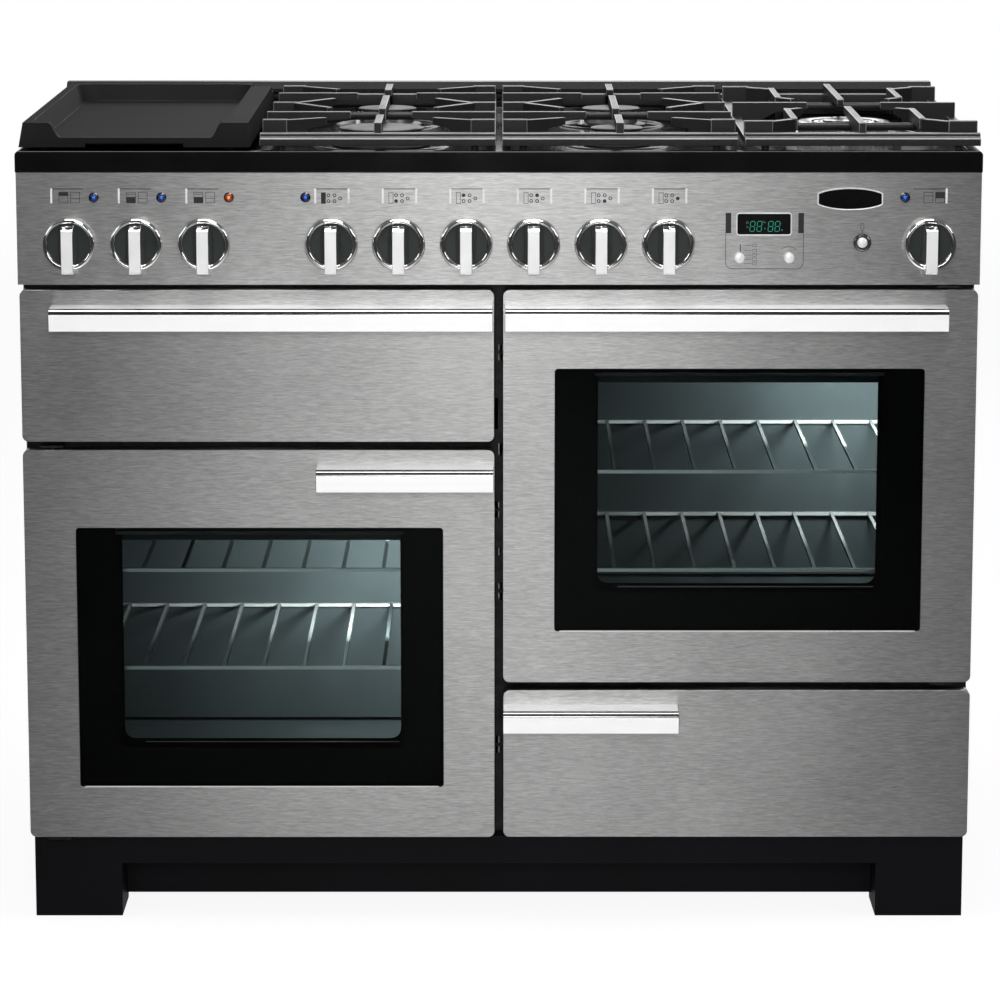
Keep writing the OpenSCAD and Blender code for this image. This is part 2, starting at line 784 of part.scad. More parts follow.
// Elements: a ring round each fan, a serpentine over the grill, a disc under the glass
ring_r = fan_d / 2 + 14;
grill_rod_z = grill_cavity_z + grill_cavity_h - 16;
grill_bend = 28;
grill_rods = 6;
grill_rod_end = grill_bend * (grill_rods - 1);
zone_disc = 176;
module ring_element() {
  fan_z = cavity_z + cavity_h / 2;
  y = fan_y - fan_t / 2;
  translate([-door_mid, y, fan_z]) rotate([90, 0, 0])
    rotate_extrude() translate([ring_r, 0]) circle(d = rod_d);
  for (s = [-1, 1]) rod_y(-door_mid + s * 12, fan_z - ring_r, rod_d, y,
    cavity_rear_y + 14);
}
module grill_element() {
  y0 = cavity_y + 60;
  y1 = cavity_rear_y - 60;
  translate([-door_mid, 0, 0]) {
    for (i = [0 : grill_rods - 1]) {
      x = (2 * i - grill_rods + 1) * grill_bend;
      last = i == 0 || i == grill_rods - 1;
      rod_y(x, grill_rod_z, rod_d, y0, last ? cavity_rear_y + 14 : y1);
    }
    for (i = [0 : grill_rods - 2]) {
      x = (2 * i - grill_rods + 2) * grill_bend;
      front = i % 2 == 0;
      translate([x, front ? y0 : y1, grill_rod_z]) rotate([0, 0, front ? 180 : 0])
        rotate_extrude(angle = 180) translate([grill_bend, 0]) circle(d = rod_d);
    }
    for (y = [y0 + 40, y1 - 40]) {
      box(-grill_rod_end - 6, grill_rod_end + 6, y, y + 4, grill_rod_z + rod_d / 2,
        grill_cavity_z + grill_cavity_h);
    }
  }
}
module heating_elements() {
  color([0.3, 0.3, 0.3]) {
    both_ovens() ring_element();
    grill_element();
    rod_z(griddle_x0 + griddle_w / 2, front_y + zone_front + zone_l / 2, zone_disc,
      hob_floor - skirt_t - 26, hob_floor - skirt_t);
  }
}

// Fan motors behind the ovens, each with a bored neck for the fan's shaft
module motor() {
  fan_z = cavity_z + cavity_h / 2;
  neck = cavity_rear_y + sheet;
  rod_bore = shaft_d + 2 * clear;
  difference() {
    union() {
      rod_y(-door_mid, fan_z, neck_d, neck, neck + wool_t + 2);
      rod_y(-door_mid, fan_z, motor_d, neck + wool_t + 2, neck + wool_t + 2 + motor_l);
    }
    rod_y(-door_mid, fan_z, rod_bore, neck - 1, neck + wool_t + shaft_in + 2);
  }
}
module fan_motors() {
  color("gray") both_ovens() motor();
}

// Convection fan: hub, back disc, blades and the shaft that runs in the motor's neck
module fan() {
  fan_z = cavity_z + cavity_h / 2;
  blades = 10;
  translate([-door_mid, fan_y, fan_z]) rotate([90, 0, 0]) {
    cylinder(d = fan_d - 8, h = 1.5);
    cylinder(d = fan_hub, h = fan_t);
    for (i = [0 : blades - 1]) rotate([0, 0, i * 360 / blades])
      translate([fan_d / 4, -0.75, 0]) cube([fan_d / 4 - 1, 1.5, fan_t]);
  }
  rod_y(-door_mid, fan_z, shaft_d, fan_y, cavity_rear_y + sheet + wool_t + shaft_in);
}
module left_fan() {
  color("lightgray") fan();
}
module right_fan() {
  color("lightgray") to_right_oven() fan();
}

// Insulation: a wrap and a rear pad round each oven, and the door seals
module wool() {
  x0 = -door_mid - cavity_w / 2 - sheet;
  x1 = -door_mid + cavity_w / 2 + sheet;
  z0 = cavity_z - sheet;
  z1 = cavity_z + cavity_h + sheet;
  fan_z = cavity_z + cavity_h / 2;
  difference() {
    box(x0 - wool_t, x1 + wool_t, cavity_y + sheet, cavity_rear_y + sheet + wool_t,
      z0 - wool_t, z1 + wool_t);
    box(x0, x1, cavity_y, cavity_rear_y + sheet, z0, z1);
    rod_y(-door_mid, fan_z, neck_d + 6, cavity_rear_y, rear_y);
    for (s = [-1, 1]) rod_y(-door_mid + s * 12, fan_z - ring_r, rod_d + 4,
      cavity_rear_y, rear_y);
  }
}
module seal() {
  x0 = -door_mid - cavity_w / 2;
  x1 = -door_mid + cavity_w / 2;
  along_y(door_back_y + clear, frame_y) difference() {
    round_rect(x0 - 9, x1 + 9, cavity_z - 9, cavity_z + cavity_h + 9, 14);
    round_rect(x0 - 2, x1 + 2, cavity_z - 2, cavity_z + cavity_h + 2, 8);
  }
}
module insulation() {
  color("khaki") both_ovens() {
    wool();
    seal();
  }
}

// Mains terminal box with its gland bore, and the gas inlet
service_x = 430;
service_z = plinth_h + 90;
service_w = 90;
service_l = 44;
gland_x = service_x;
gland_d = 20;
inlet_x = -480;
inlet_z = gas_z;
inlet_d = 21;
inlet_l = 40;
module service_box() {
  y0 = rear_y - sheet - service_l;
  color([0.15, 0.15, 0.15]) {
    difference() {
      union() {
        box(service_x - service_w / 2, service_x + service_w / 2, y0, rear_y - sheet,
          service_z - service_w / 2, service_z + service_w / 2);
        rod_y(gland_x, service_z, gland_d - 2 * clear, rear_y - sheet, rear_y);
      }
      box(service_x - service_w / 2 + 3, service_x + service_w / 2 - 3, y0 + 3,
        rear_y - sheet - 3, service_z - service_w / 2 + 3, service_z + service_w / 2 - 3);
      rod_y(gland_x, service_z, gland_d - 6, rear_y - sheet - 4, rear_y + 1);
    }
    difference() {
      rod_y(inlet_x, inlet_z, inlet_d, rear_y - inlet_l, rear_y);
      rod_y(inlet_x, inlet_z, inlet_d - 7, rear_y - inlet_l - 1, rear_y + 1);
    }
  }
}

// Hinge brackets: a plate from the frame and a pin, at the top and bottom of a door
bracket_w = 26;
bracket_t = 2.7;
module hinge_plate(z0) {
  box(-pin_x - bracket_w / 2, -pin_x + bracket_w / 2, pin_y - 5, frame_y, z0,
    z0 + bracket_t);
  box(-pin_x - bracket_w / 2, -pin_x + bracket_w / 2, frame_y - bracket_t, frame_y,
    z0, z0 + bracket_t);
}
module hinge_brackets() {
  color("silver") {
    both_ovens() {
      top_z = low_z + oven_door_h;
      hinge_plate(top_z + 2);
      rod_z(-pin_x, pin_y, pin_d, top_z - pin_grip, top_z + 2);
      hinge_plate(low_z - 1 - bracket_t);
      rod_z(-pin_x, pin_y, pin_d, low_z - 1, low_z + pin_grip);
    }
  }
}

// Fixed rails: channels for the grill's runners and ledges for the storage drawer
module rail_channel() {
  slot = 3.4;
  difference() {
    translate([0, -rail_h / 2]) square([rail_d, rail_h]);
    translate([sheet, -rail_h / 2 + sheet]) square([rail_d - 3.7, rail_h - 2 * sheet]);
    translate([sheet, -slot]) square([rail_d, 2 * slot]);
  }
}
module box_rail() {
  reach = box_w / 2 + sheet + 6;
  wall_l = box_x - sheet / 2;
  y0 = cavity_y + 2;
  y1 = rear_y - 60;
  for (side = [[-1, wall_l], [1, side_x - sheet - box_x]]) {
    translate([box_x, 0, 0]) mirror([side[0] > 0 ? 0 : 1, 0, 0]) {
      box(side[1] - sheet, side[1], y0, y1, ledge_z - clear - sheet,
        ledge_z + 2 * sheet + clear);
      box(reach, side[1] - sheet, y0, y1, ledge_z - clear - sheet, ledge_z - clear);
      box(reach, side[1] - sheet, y0, y1, ledge_z + sheet + clear,
        ledge_z + 2 * sheet + clear);
    }
  }
}
module runner_rails() {
  color("silver") {
    for (s = [0, 1]) translate([-door_mid, 0, rail_z]) mirror([s, 0, 0])
      translate([-cavity_w / 2, 0, 0]) along_y(runner_y, runner_y + runner_l)
        rail_channel();
    box_rail();
  }
}

// Left oven door, open position shut; the right one is its mirror image
module door_skin() {
  x0 = -door_x;
  x1 = -column_gap / 2;
  z1 = low_z + oven_door_h;
  window_x = -door_mid - window_w / 2;
  difference() {
    union() {
      pan_front(x0, x1, low_z, z1);
      for (z = [low_z + sheet, z1 - sheet - pivot_block]) {
        box(-pin_x - 8, -pin_x + 8, front_y + sheet, front_y + skin_d, z, z + pivot_block);
      }
    }
    along_y(front_y - 1, front_y + sheet + 1) round_rect(window_x, window_x + window_w,
      low_z + window_up, low_z + window_up + window_h, 4);
    rod_z(-pin_x, pin_y, pin_d + 2 * clear, low_z - 1, z1 + 1);
  }
}
module door_glass() {
  x0 = -door_mid - window_w / 2;
  z0 = low_z + window_up;
  along_y(front_y + 0.8, front_y + 0.8 + glass_t) round_rect(x0 + clear,
    x0 + window_w - clear, z0 + clear, z0 + window_h - clear, 3.7);
  box(x0 + 9, x0 + window_w - 9, door_back_y - sheet - glass_t, door_back_y - sheet,
    z0 + 9, z0 + window_h - 9);
}
module door_liner() {
  x0 = -door_x + liner_in;
  x1 = -column_gap / 2 - liner_in;
  z0 = low_z + 22;
  z1 = low_z + oven_door_h - 22;
  wx0 = -door_mid - window_w / 2;
  wz0 = low_z + window_up;
  glass_back = front_y + 0.8 + glass_t;
  // Inner panel with turned edges that reach the skin
  along_y(door_back_y - sheet, door_back_y) difference() {
    round_rect(x0, x1, z0, z1, 12);
    round_rect(wx0 + 22, wx0 + window_w - 22, wz0 + 22, wz0 + window_h - 22, 10);
  }
  along_y(front_y + sheet, door_back_y - sheet) difference() {
    round_rect(x0, x1, z0, z1, 12);
    round_rect(x0 + sheet, x1 - sheet, z0 + sheet, z1 - sheet, 10);
  }
  // Tunnel between the outer and the inner glass
  along_y(glass_back, door_back_y - sheet) difference() {
    translate([wx0 + 5, wz0 + 5]) square([window_w - 10, window_h - 10]);
    translate([wx0 + 9, wz0 + 9]) square([window_w - 18, window_h - 18]);
  }
}

// Handle profile: a slim skin over an open finger space, rounded at the nose
handle_nose = 7;
handle_skin = 3.5;
handle_lean = 2;
module handle_profile(open) {
  nose = handle_nose;
  skin = handle_skin;
  lean = handle_lean;
  difference() {
    union() {
      translate([-handle_out + nose, 6]) square([handle_out - nose, handle_h - 6]);
      translate([-handle_out + nose, handle_h - nose]) circle(r = nose);
      polygon([[-handle_out, handle_h - nose], [-handle_out + lean, 0],
        [open ? lean + skin - handle_out : 0, 0], [0, handle_h - nose]]);
    }
    if (open) {
      polygon([[-handle_out + skin + 1.5, handle_h - nose],
        [-handle_out + lean + skin, 0], [-handle_out + lean + skin, -1], [-3, -1],
        [-3, handle_h - skin], [-handle_out + nose + 1, handle_h - skin]]);
    }
  }
}
module handle(x0, x1, top) {
  cap = handle_skin;
  translate([0, front_y, top - handle_drop - handle_h]) {
    along_x(x0 + cap, x1 - cap) handle_profile(true);
    along_x(x0, x0 + cap) handle_profile(false);
    along_x(x1 - cap, x1) handle_profile(false);
  }
}

module left_door_skin() {
  color("silver") door_skin();
}
module left_door_glass() {
  color([0.1, 0.12, 0.12]) door_glass();
}
module left_door_liner() {
  color("dimgray") door_liner();
}
module left_door_handle() {
  color("gainsboro") handle(-column_gap / 2 - 1 - short_handle, -column_gap / 2 - 1,
    low_z + oven_door_h);
}
module right_door_skin() {
  color("silver") to_right_oven() door_skin();
}
module right_door_glass() {
  color([0.1, 0.12, 0.12]) to_right_oven() door_glass();
}
module right_door_liner() {
  color("dimgray") to_right_oven() door_liner();
}
module right_door_handle() {
  color("gainsboro") handle(column_gap / 2 + 2, column_gap / 2 + 2 + long_handle,
    upper_oven_z + oven_door_h);
}

// Grill drawer: front, handle, sliding frame and pan
module grill_front() {
  color("silver") pan_front(-door_x, -column_gap / 2, grill_z, grill_z + drawer_h);
}
module grill_handle() {
  color("gainsboro") handle(-column_gap / 2 - 2 - long_handle, -column_gap / 2 - 2,
    grill_z + drawer_h);
}
module grill_frame() {
  in_x = cavity_w / 2 - 2 * rail_d - clear;
  y1 = runner_y + runner_l;
  back = front_y + skin_d;
  color("silver") {
    translate([-door_mid, 0, rail_z]) {
      // Inner rails, with their open side towards the middle runners
      for (s = [0, 1]) mirror([s, 0, 0]) translate([-in_x, 0, 0]) mirror([1, 0, 0])
        along_y(runner_y, y1) rail_channel();
      // Cross bars that carry the pan, and the plate behind the front
      box(-in_x, in_x, y1 - 12, y1, -rail_h / 2, -rail_h / 2 + 3);
      box(-in_x, in_x, runner_y, runner_y + 12, -rail_h / 2, -rail_h / 2 + 3);
      for (s = [-1, 1]) {
        box(s * (in_x - 6) - 6, s * (in_x - 6) + 6, back - sheet, runner_y,
          -rail_h / 2, -rail_h / 2 + 3);
      }
    }
    along_y(back - 2 * sheet, back) round_rect(-door_x + sheet, -column_gap / 2 - sheet,
      grill_z + sheet, grill_z + drawer_h - sheet, door_r - sheet);
  }
}
module grill_pan() {
  half = cavity_w / 2 - 2 * rail_d - 8;
  y0 = runner_y + 14;
  y1 = runner_y + runner_l - 16;
  z0 = rail_z - rail_h / 2 + 3;
  bars = 15;
  color([0.12, 0.13, 0.14]) translate([-door_mid, 0, 0]) {
    difference() {
      union() {
        box(-half + 4, half - 4, y0, y1, z0 - 14, z0 - 14 + pan_h);
        box(-half, half, y0 - 8, y1 + 8, z0, z0 + sheet);
      }
      box(-half + 4 + sheet, half - 4 - sheet, y0 + sheet, y1 - sheet,
        z0 - 14 + sheet, z0 + pan_h);
    }
    // Wire trivet that stands in the pan
    translate([0, 0, z0 - 14 + sheet]) {
      for (x = [-half + 30, half - 30]) {
        for (y = [y0 + 20, y1 - 20]) rod_z(x, y, 6, 0, 16);
      }
      translate([0, 0, 16]) linear_extrude(4) difference() {
        translate([-half + 20, y0 + 12]) square([2 * half - 40, y1 - y0 - 24]);
        for (i = [0 : bars - 1]) {
          w = (2 * half - 48) / bars;
          translate([-half + 24 + i * w + 2, y0 + 17]) square([w - 4, y1 - y0 - 34]);
        }
      }
    }
  }
}
// Middle runners: two tongues joined by a web, one in each channel
module mid_profile() {
  tongue = rail_h / 2 - sheet - clear;
  edge = rail_d - 2;
  translate([sheet + 1, -tongue]) square([edge - 0.3 - sheet - 1, 2 * tongue]);
  translate([edge - 0.4, -3]) square([2 * 2 + clear + 0.8, 6]);
  translate([rail_d + clear + 2, -tongue]) square([edge - 0.3 - sheet - 1, 2 * tongue]);
}
module grill_mid_runners() {
  color("gainsboro") for (s = [0, 1]) translate([-door_mid, 0, rail_z]) mirror([s, 0, 0])
    translate([-cavity_w / 2, 0, 0]) along_y(runner_y + mid_lead, runner_y + runner_l)
      mid_profile();
}

// Storage drawer: front, handle and folded box with side flanges
module drawer_front() {
  color("silver") pan_front(column_gap / 2, door_x, low_z, low_z + drawer_h);
}
module drawer_handle() {
  color("gainsboro") handle(column_gap / 2, column_gap / 2 + short_handle,
    low_z + drawer_h);
}
module drawer_box() {
  back = front_y + skin_d;
  half = box_w / 2;
  color("gray") {
    along_y(back - 2 * sheet, back) round_rect(column_gap / 2 + sheet, door_x - sheet,
      low_z + sheet, low_z + drawer_h - sheet, door_r - sheet);
    translate([box_x, 0, 0]) {
      difference() {
        box(-half - sheet, half + sheet, back, back + box_l, box_z, box_z + box_h);
        box(-half, half, back, back + box_l - sheet, box_z + sheet, box_z + box_h + 1);
      }
      for (s = [-1, 1]) {
        box(s * (half + sheet + ledge / 2) - ledge / 2,
          s * (half + sheet + ledge / 2) + ledge / 2, cavity_y + 6, back + box_l,
          ledge_z, ledge_z + sheet);
      }
    }
  }
}

// Griddle: a cast tray with a low front lip, a wide right rim and short feet
griddle_rim = 12;
griddle_side = 27;
lip_drop = 15;
griddle_floor = 8;
module griddle() {
  x0 = griddle_x0;
  x1 = griddle_x0 + griddle_w;
  y0 = front_y + griddle_front;
  y1 = y0 + griddle_depth;
  z0 = hob_z + 2;
  color([0.14, 0.14, 0.14]) {
    difference() {
      along_y(y0, y1) polygon([[x0, z0], [x1, z0], [x1, grate_top - 4],
        [x1 - 3, grate_top], [x0 + 4, grate_top], [x0, grate_top - 6]]);
      box(x0 + griddle_rim, x1 - griddle_side, y0 + 16, y1 - griddle_rim,
        z0 + griddle_floor, grate_top + 1);
      // Front lip, cut down between its two high corners
      along_y(y0 - 1, y0 + 17) polygon([[x0 + 38, grate_top + 1],
        [x0 + 38, grate_top], [x0 + 50, grate_top - lip_drop + 2],
        [x0 + 58, grate_top - lip_drop], [x1 - 50, grate_top - lip_drop],
        [x1 - 42, grate_top - lip_drop + 2], [x1 - 36, grate_top],
        [x1 - 36, grate_top + 1]]);
      // Hand space under the front edge
      box(x0 + 76, x1 - 76, y0 - 1, y0 + 30, z0 - 1, z0 + 4);
      // Rim step near the right rear corner
      box(x1 - griddle_side, x1 + 1, y1 - 50, y1 + 1, grate_top - 9, grate_top + 1);
    }
    for (x = [x0 + 26, x1 - 26]) {
      for (y = [y0 + 40, y1 - 40]) rod_z(x, y, 14, hob_floor + clear, z0 + 1);
    }
  }
}

// Slanted bars of the pan supports stand a little lower than the straight ones
slant_top = grate_top - 0.8;
// Straight bar of a pan support from one plan point to another
module bar(x0, d0, x1, d1, z0, z1) {
  run = norm([x1 - x0, d1 - d0]);
  translate([x0, front_y + d0, z0]) rotate([0, 0, atan2(d1 - d0, x1 - x0)])
    translate([0, -bar_w / 2, 0]) cube([run, bar_w, z1 - z0]);
}
// Finger of a pan support: full height at its root, shallow at its tip
module finger(x0, d0, x1, d1, top = grate_top) {
  run = norm([x1 - x0, d1 - d0]);
  h = top - low_bar_z;
  translate([x0, front_y + d0, low_bar_z]) rotate([0, 0, atan2(d1 - d0, x1 - x0)])
    translate([0, bar_w / 2, 0]) rotate([90, 0, 0]) linear_extrude(bar_w)
      polygon([[0, 0], [run * 0.25, 0], [run * 0.6, h - 11], [run, h - 9], [run, h],
        [0, h]]);
}
// Low outer ring with a raised step and two legs at the front and at the rear
module support_ring() {
  half = support_w / 2;
  y0 = front_y + support_front;
  difference() {
    box(-half, half, y0, y0 + support_depth, low_bar_z, low_bar_top);
    box(-half + bar_w, half - bar_w, y0 + bar_w, y0 + support_depth - bar_w,
      low_bar_z - 1, low_bar_top + 1);
  }
  for (x = [-half + leg_in, half - leg_in]) {
    for (y = [y0 + bar_w + 1, y0 + support_depth - bar_w - 1]) {
      rod_z(x, y, leg_d, hob_floor + clear, low_bar_z + 1);
    }
  }
  for (y = [y0 + step_in, y0 + support_depth - step_in - step_w]) {
    box(-half + step_in, half - step_in, y, y + step_w, low_bar_z + 0.4, step_top);
  }
}
// Low round rod across a support, clear of the burners
module cross_rod(d, half) {
  rod_x(front_y + d, low_bar_top, cross_d, -half, half);
}
// Root of a finger at one side: runs in from the ring, and can turn towards the burner
module root(s, d, reach) {
  half = support_w / 2;
  bar(s * (half - 0.5), d, s * (half - reach), d, low_bar_z + 0.5, grate_top);
}
module twin_support() {
  half = support_w / 2;
  reach = 29;
  fork = half - 25;
  tip_x = 63;
  tip_d = 67;
  middle = (burner_front + burner_rear) / 2;
  last = support_front + support_depth;
  support_ring();
  cross_rod(middle, half - 1);
  for (d = [burner_front, burner_rear]) {
    for (s = [-1, 1]) finger(s * (half - 0.5), d, s * 36, d);
  }
  finger(0, support_front + 6, 0, burner_front - 37);
  bar(0, burner_front + 42, 0, burner_rear - 36, spine_z, grate_top);
  finger(0, last - 6, 0, burner_rear + 46);
  for (s = [-1, 1]) {
    root(s, support_front + 54, reach);
    finger(s * fork, support_front + 54, s * tip_x, burner_front - tip_d, slant_top);
    root(s, middle, reach);
    finger(s * fork, middle, s * tip_x, burner_front + tip_d, slant_top);
    finger(s * fork, middle, s * tip_x, burner_rear - tip_d, slant_top);
    root(s, last - 35, reach);
    finger(s * fork, last - 35, s * tip_x, burner_rear + tip_d, slant_top);
  }
}
module wok_support() {
  half = support_w / 2;
  reach = 34;
  last = support_front + support_depth;
  side = 74;
  near = support_front + 36;
  far = last - 46;
  support_ring();
  for (d = [wok_depth - cross_in, wok_depth + cross_in]) cross_rod(d, side + 1);
  for (s = [-1, 1]) finger(s * (half - 0.5), wok_depth, s * 44, wok_depth);
  finger(0, support_front + 6, 0, wok_depth - 51);
  finger(0, last - 6, 0, wok_depth + 48);
  for (s = [-1, 1]) {
    root(s, near, reach);
    bar(s * (half - 30), near - 1, s * side, near + 34, low_bar_z + 1, slant_top);
    bar(s * side, near + 29, s * side, wok_depth - 79, spine_z, grate_top);
    finger(s * side, wok_depth - 83, s * 57, wok_depth - 66, slant_top);
    root(s, far, reach);
    bar(s * (half - 30), far + 1, s * side, far - 27, low_bar_z + 1, slant_top);
    bar(s * side, wok_depth + 74, s * side, far - 22, spine_z, grate_top);
    finger(s * side, wok_depth + 78, s * 57, wok_depth + 59, slant_top);
  }
}
module pan_support_left() {
  color([0.15, 0.15, 0.15]) translate([left_mid_x, 0, 0]) twin_support();
}
module pan_support_centre() {
  color([0.15, 0.15, 0.15]) translate([centre_mid_x, 0, 0]) twin_support();
}
module pan_support_wok() {
  color([0.15, 0.15, 0.15]) translate([wok_mid_x, 0, 0]) wok_support();
}

module light_button() {
  color("gainsboro") {
    rod_y(button_x, button_z, button_d, front_y - 2.5 - button_travel, front_y + sheet + 10);
  }
}

// Clock setting knob on its thin spindle
module clock_knob(x) {
  color("gainsboro") difference() {
    rod_y(x, clock_z, clock_knob_d, front_y - clock_out, front_y - knob_lift);
    rod_y(x, clock_z, clock_spindle_d + 2 * clear, front_y - clock_out + 3.5, front_y);
  }
}
module clock_knob_left() {
  clock_knob(display_x - clock_span / 2);
}
module clock_knob_right() {
  clock_knob(display_x + clock_span / 2);
}

// Control knob: a dished skirt with a grip bar that reaches further down than up
grip_w = 14.5;
grip_low = 1.5;
grip_high = 8.5;
module knob(x) {
  r = knob_d / 2;
  color("gainsboro") translate([x, front_y - knob_lift, knob_z]) rotate([90, 0, 0])
    difference() {
      union() {
        rotate_extrude() polygon([[0, 0], [r, 0], [r, 4], [r - 5, 10], [r - 7.5, 10],
          [r - 7.5, 7], [0, 7]]);
        linear_extrude(knob_out - knob_lift) translate([-grip_w / 2, grip_low - r])
          square([grip_w, 2 * r - grip_low - grip_high]);
      }
      translate([0, 0, -1]) cylinder(d = spindle_d + 2 * clear, h = spindle_out + 2.5);
    }
}
module grill_knob() {
  knob(SWITCH_X[0]);
}
module oven_function_knob() {
  knob(SWITCH_X[1]);
}
module oven_heat_knob() {
  knob(SWITCH_X[2]);
}
module ceramic_knob() {
  knob(SWITCH_X[3]);
}
module right_oven_knob() {
  knob(SWITCH_X[4]);
}

chassis();
side_panels();
back_panel();
front_frame();
plinth();
levelling_feet();
hob_tray();
vent_rail();
ceramic_zone();
control_panel();
panel_lenses();
gas_rail();
switch_bodies();
burner_bodies();
burner_caps();
grill_cavity();
left_oven_cavity();
right_oven_cavity();
oven_furniture();
heating_elements();
fan_motors();
insulation();
service_box();
hinge_brackets();
runner_rails();
left_fan();
right_fan();
left_door_skin();
left_door_glass();
left_door_liner();
left_door_handle();
right_door_skin();
right_door_glass();
right_door_liner();
right_door_handle();
grill_front();
grill_handle();
grill_frame();
grill_pan();
grill_mid_runners();
drawer_front();
drawer_handle();
drawer_box();
griddle();
pan_support_left();
pan_support_centre();
pan_support_wok();
light_button();
clock_knob_left();
clock_knob_right();
grill_knob();
oven_function_knob();
oven_heat_knob();
ceramic_knob();
for (i = [0 : 4]) {
  knob(GAS_X[i]);
}
right_oven_knob();
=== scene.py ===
# Range cooker: the looks of every piece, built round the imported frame.
# Metres, +X to the right, -Y towards the viewer, +Z up; shapes are given in mm.
import json
import math

import bmesh
import bpy
from mathutils import Matrix, Vector

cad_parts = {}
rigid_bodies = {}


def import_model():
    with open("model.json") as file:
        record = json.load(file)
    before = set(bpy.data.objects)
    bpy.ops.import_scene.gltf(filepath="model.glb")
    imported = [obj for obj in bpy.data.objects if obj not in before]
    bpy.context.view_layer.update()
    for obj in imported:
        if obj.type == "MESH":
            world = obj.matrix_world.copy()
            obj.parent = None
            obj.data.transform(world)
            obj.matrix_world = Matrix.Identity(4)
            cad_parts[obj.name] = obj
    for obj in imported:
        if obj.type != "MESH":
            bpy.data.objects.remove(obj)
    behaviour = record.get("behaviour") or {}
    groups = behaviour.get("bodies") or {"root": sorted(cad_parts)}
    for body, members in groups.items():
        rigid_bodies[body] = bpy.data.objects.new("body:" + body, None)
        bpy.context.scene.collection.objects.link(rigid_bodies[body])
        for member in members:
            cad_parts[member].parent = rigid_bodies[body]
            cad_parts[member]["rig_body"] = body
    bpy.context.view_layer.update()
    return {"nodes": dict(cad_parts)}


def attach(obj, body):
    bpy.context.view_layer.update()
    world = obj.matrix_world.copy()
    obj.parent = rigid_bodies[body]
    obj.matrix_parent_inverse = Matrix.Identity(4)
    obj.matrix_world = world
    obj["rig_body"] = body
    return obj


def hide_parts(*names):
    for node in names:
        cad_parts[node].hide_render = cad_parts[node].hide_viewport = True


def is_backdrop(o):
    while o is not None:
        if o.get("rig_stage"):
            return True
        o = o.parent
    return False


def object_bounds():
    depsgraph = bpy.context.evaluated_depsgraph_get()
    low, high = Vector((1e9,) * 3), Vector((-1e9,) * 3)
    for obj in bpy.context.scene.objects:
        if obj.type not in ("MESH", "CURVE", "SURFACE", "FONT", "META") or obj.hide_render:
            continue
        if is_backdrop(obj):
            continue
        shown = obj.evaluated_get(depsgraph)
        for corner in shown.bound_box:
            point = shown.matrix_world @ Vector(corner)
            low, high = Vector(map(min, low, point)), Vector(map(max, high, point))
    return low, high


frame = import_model()
nodes = frame["nodes"]
mm = 0.001
print("frame loaded:", len(nodes), "nodes")


# camera, lights and floor
studio = {
    "cameraPlace": (0.0014, -5.0, 1.3672),
    "cameraPitch": 10.388,
    "lens": 149.8,
    "floorRadius": 9.0,
    "floorFade": (2.6, 8.0),
    "floorColour": 0.9,
    "floorLift": 0.86,
    "floorGlow": 1.04,
    "backColour": 1.0,
    "roomGlow": 0.05,
    "topGlow": 0.22,
    "backdropGlow": 0.6,
    "stripGlow": 0.8,
    "stripEdge": (0.06, 0.96),
    "stripReach": (1.5, 7.0),
    "stripNear": (0.75, 2.6, 0.6),
}
softLights = [
    # name, place, aim, width, height, watts
    ("softOver", (0.0, -0.5, 3.0), (0.0, -0.2, 0.5), 2.0, 1.4, 60),
    ("softFront", (0.0, -5.9, 1.8), (0.0, 0.0, 0.6), 0.7, 2.2, 32),
    ("softLeft", (-3.2, -2.4, 2.2), (0.0, 0.0, 0.4), 0.8, 1.4, 20),
    ("softRight", (3.2, -2.0, 2.4), (0.0, 0.0, 0.4), 0.8, 1.4, 22),
    ("softRear", (0.6, 3.8, 2.4), (0.0, 0.0, 0.4), 2.4, 1.6, 40),
]
hiddenLights = [
    # these only lighten matt faces: one before the cooker, one in each oven towards its rear wall
    ("softFace", (0.0, -6.0, 2.2), (0.0, 0.0, 0.5), 3.0, 1.5, 210),
    ("lampLeftOven", (-0.11, -0.06, 0.38), (-0.13, 0.142, 0.32), 0.07, 0.07, 4.6),
    ("lampRightOven", (0.448, -0.04, 0.60), (0.448, 0.142, 0.54), 0.07, 0.07, 3.8),
]


def addObject(name, data):
    one = bpy.data.objects.new(name, data)
    bpy.context.scene.collection.objects.link(one)
    return one


def toMesh(bm, name):
    mesh = bpy.data.meshes.new(name)
    bm.to_mesh(mesh)
    bm.free()
    return mesh


def makeCamera():
    data = bpy.data.cameras.new("camera")
    data.lens = studio["lens"]
    data.sensor_width = 36
    camera = addObject("camera", data)
    camera.location = studio["cameraPlace"]
    camera.rotation_euler = (math.radians(90 - studio["cameraPitch"]), 0, 0)
    bpy.context.scene.camera = camera


def makeLights(lights, mirrored):
    for name, place, aim, width, height, watts in lights:
        data = bpy.data.lights.new(name, "AREA")
        data.shape = "RECTANGLE"
        data.size = width
        data.size_y = height
        data.energy = watts
        light = addObject(name, data)
        light.location = place
        light.visible_camera = False
        light.visible_glossy = mirrored
        light.visible_transmission = mirrored
        light.rotation_euler = (Vector(aim) - Vector(place)).to_track_quat("-Z", "Y").to_euler()


def colour(value, warm=0.0):
    # from a grey level, or from red, green and blue
    return (value * (1 + warm), value, value * (1 - warm), 1) if isinstance(value, float) else (*value, 1)


def addNode(tree, kind, inputs=(), **settings):
    # one shader node; an input gets a plain value or the socket that feeds it
    node = tree.nodes.new("ShaderNode" + kind)
    for label, value in settings.items():
        setattr(node, label, value)
    for label, value in dict(inputs).items():
        if isinstance(value, bpy.types.NodeSocket):
            tree.links.new(value, node.inputs[label])
        else:
            node.inputs[label].default_value = value
    return node


def mathNode(tree, operation, *values):
    return addNode(tree, "Math", enumerate(values), operation=operation).outputs[0]


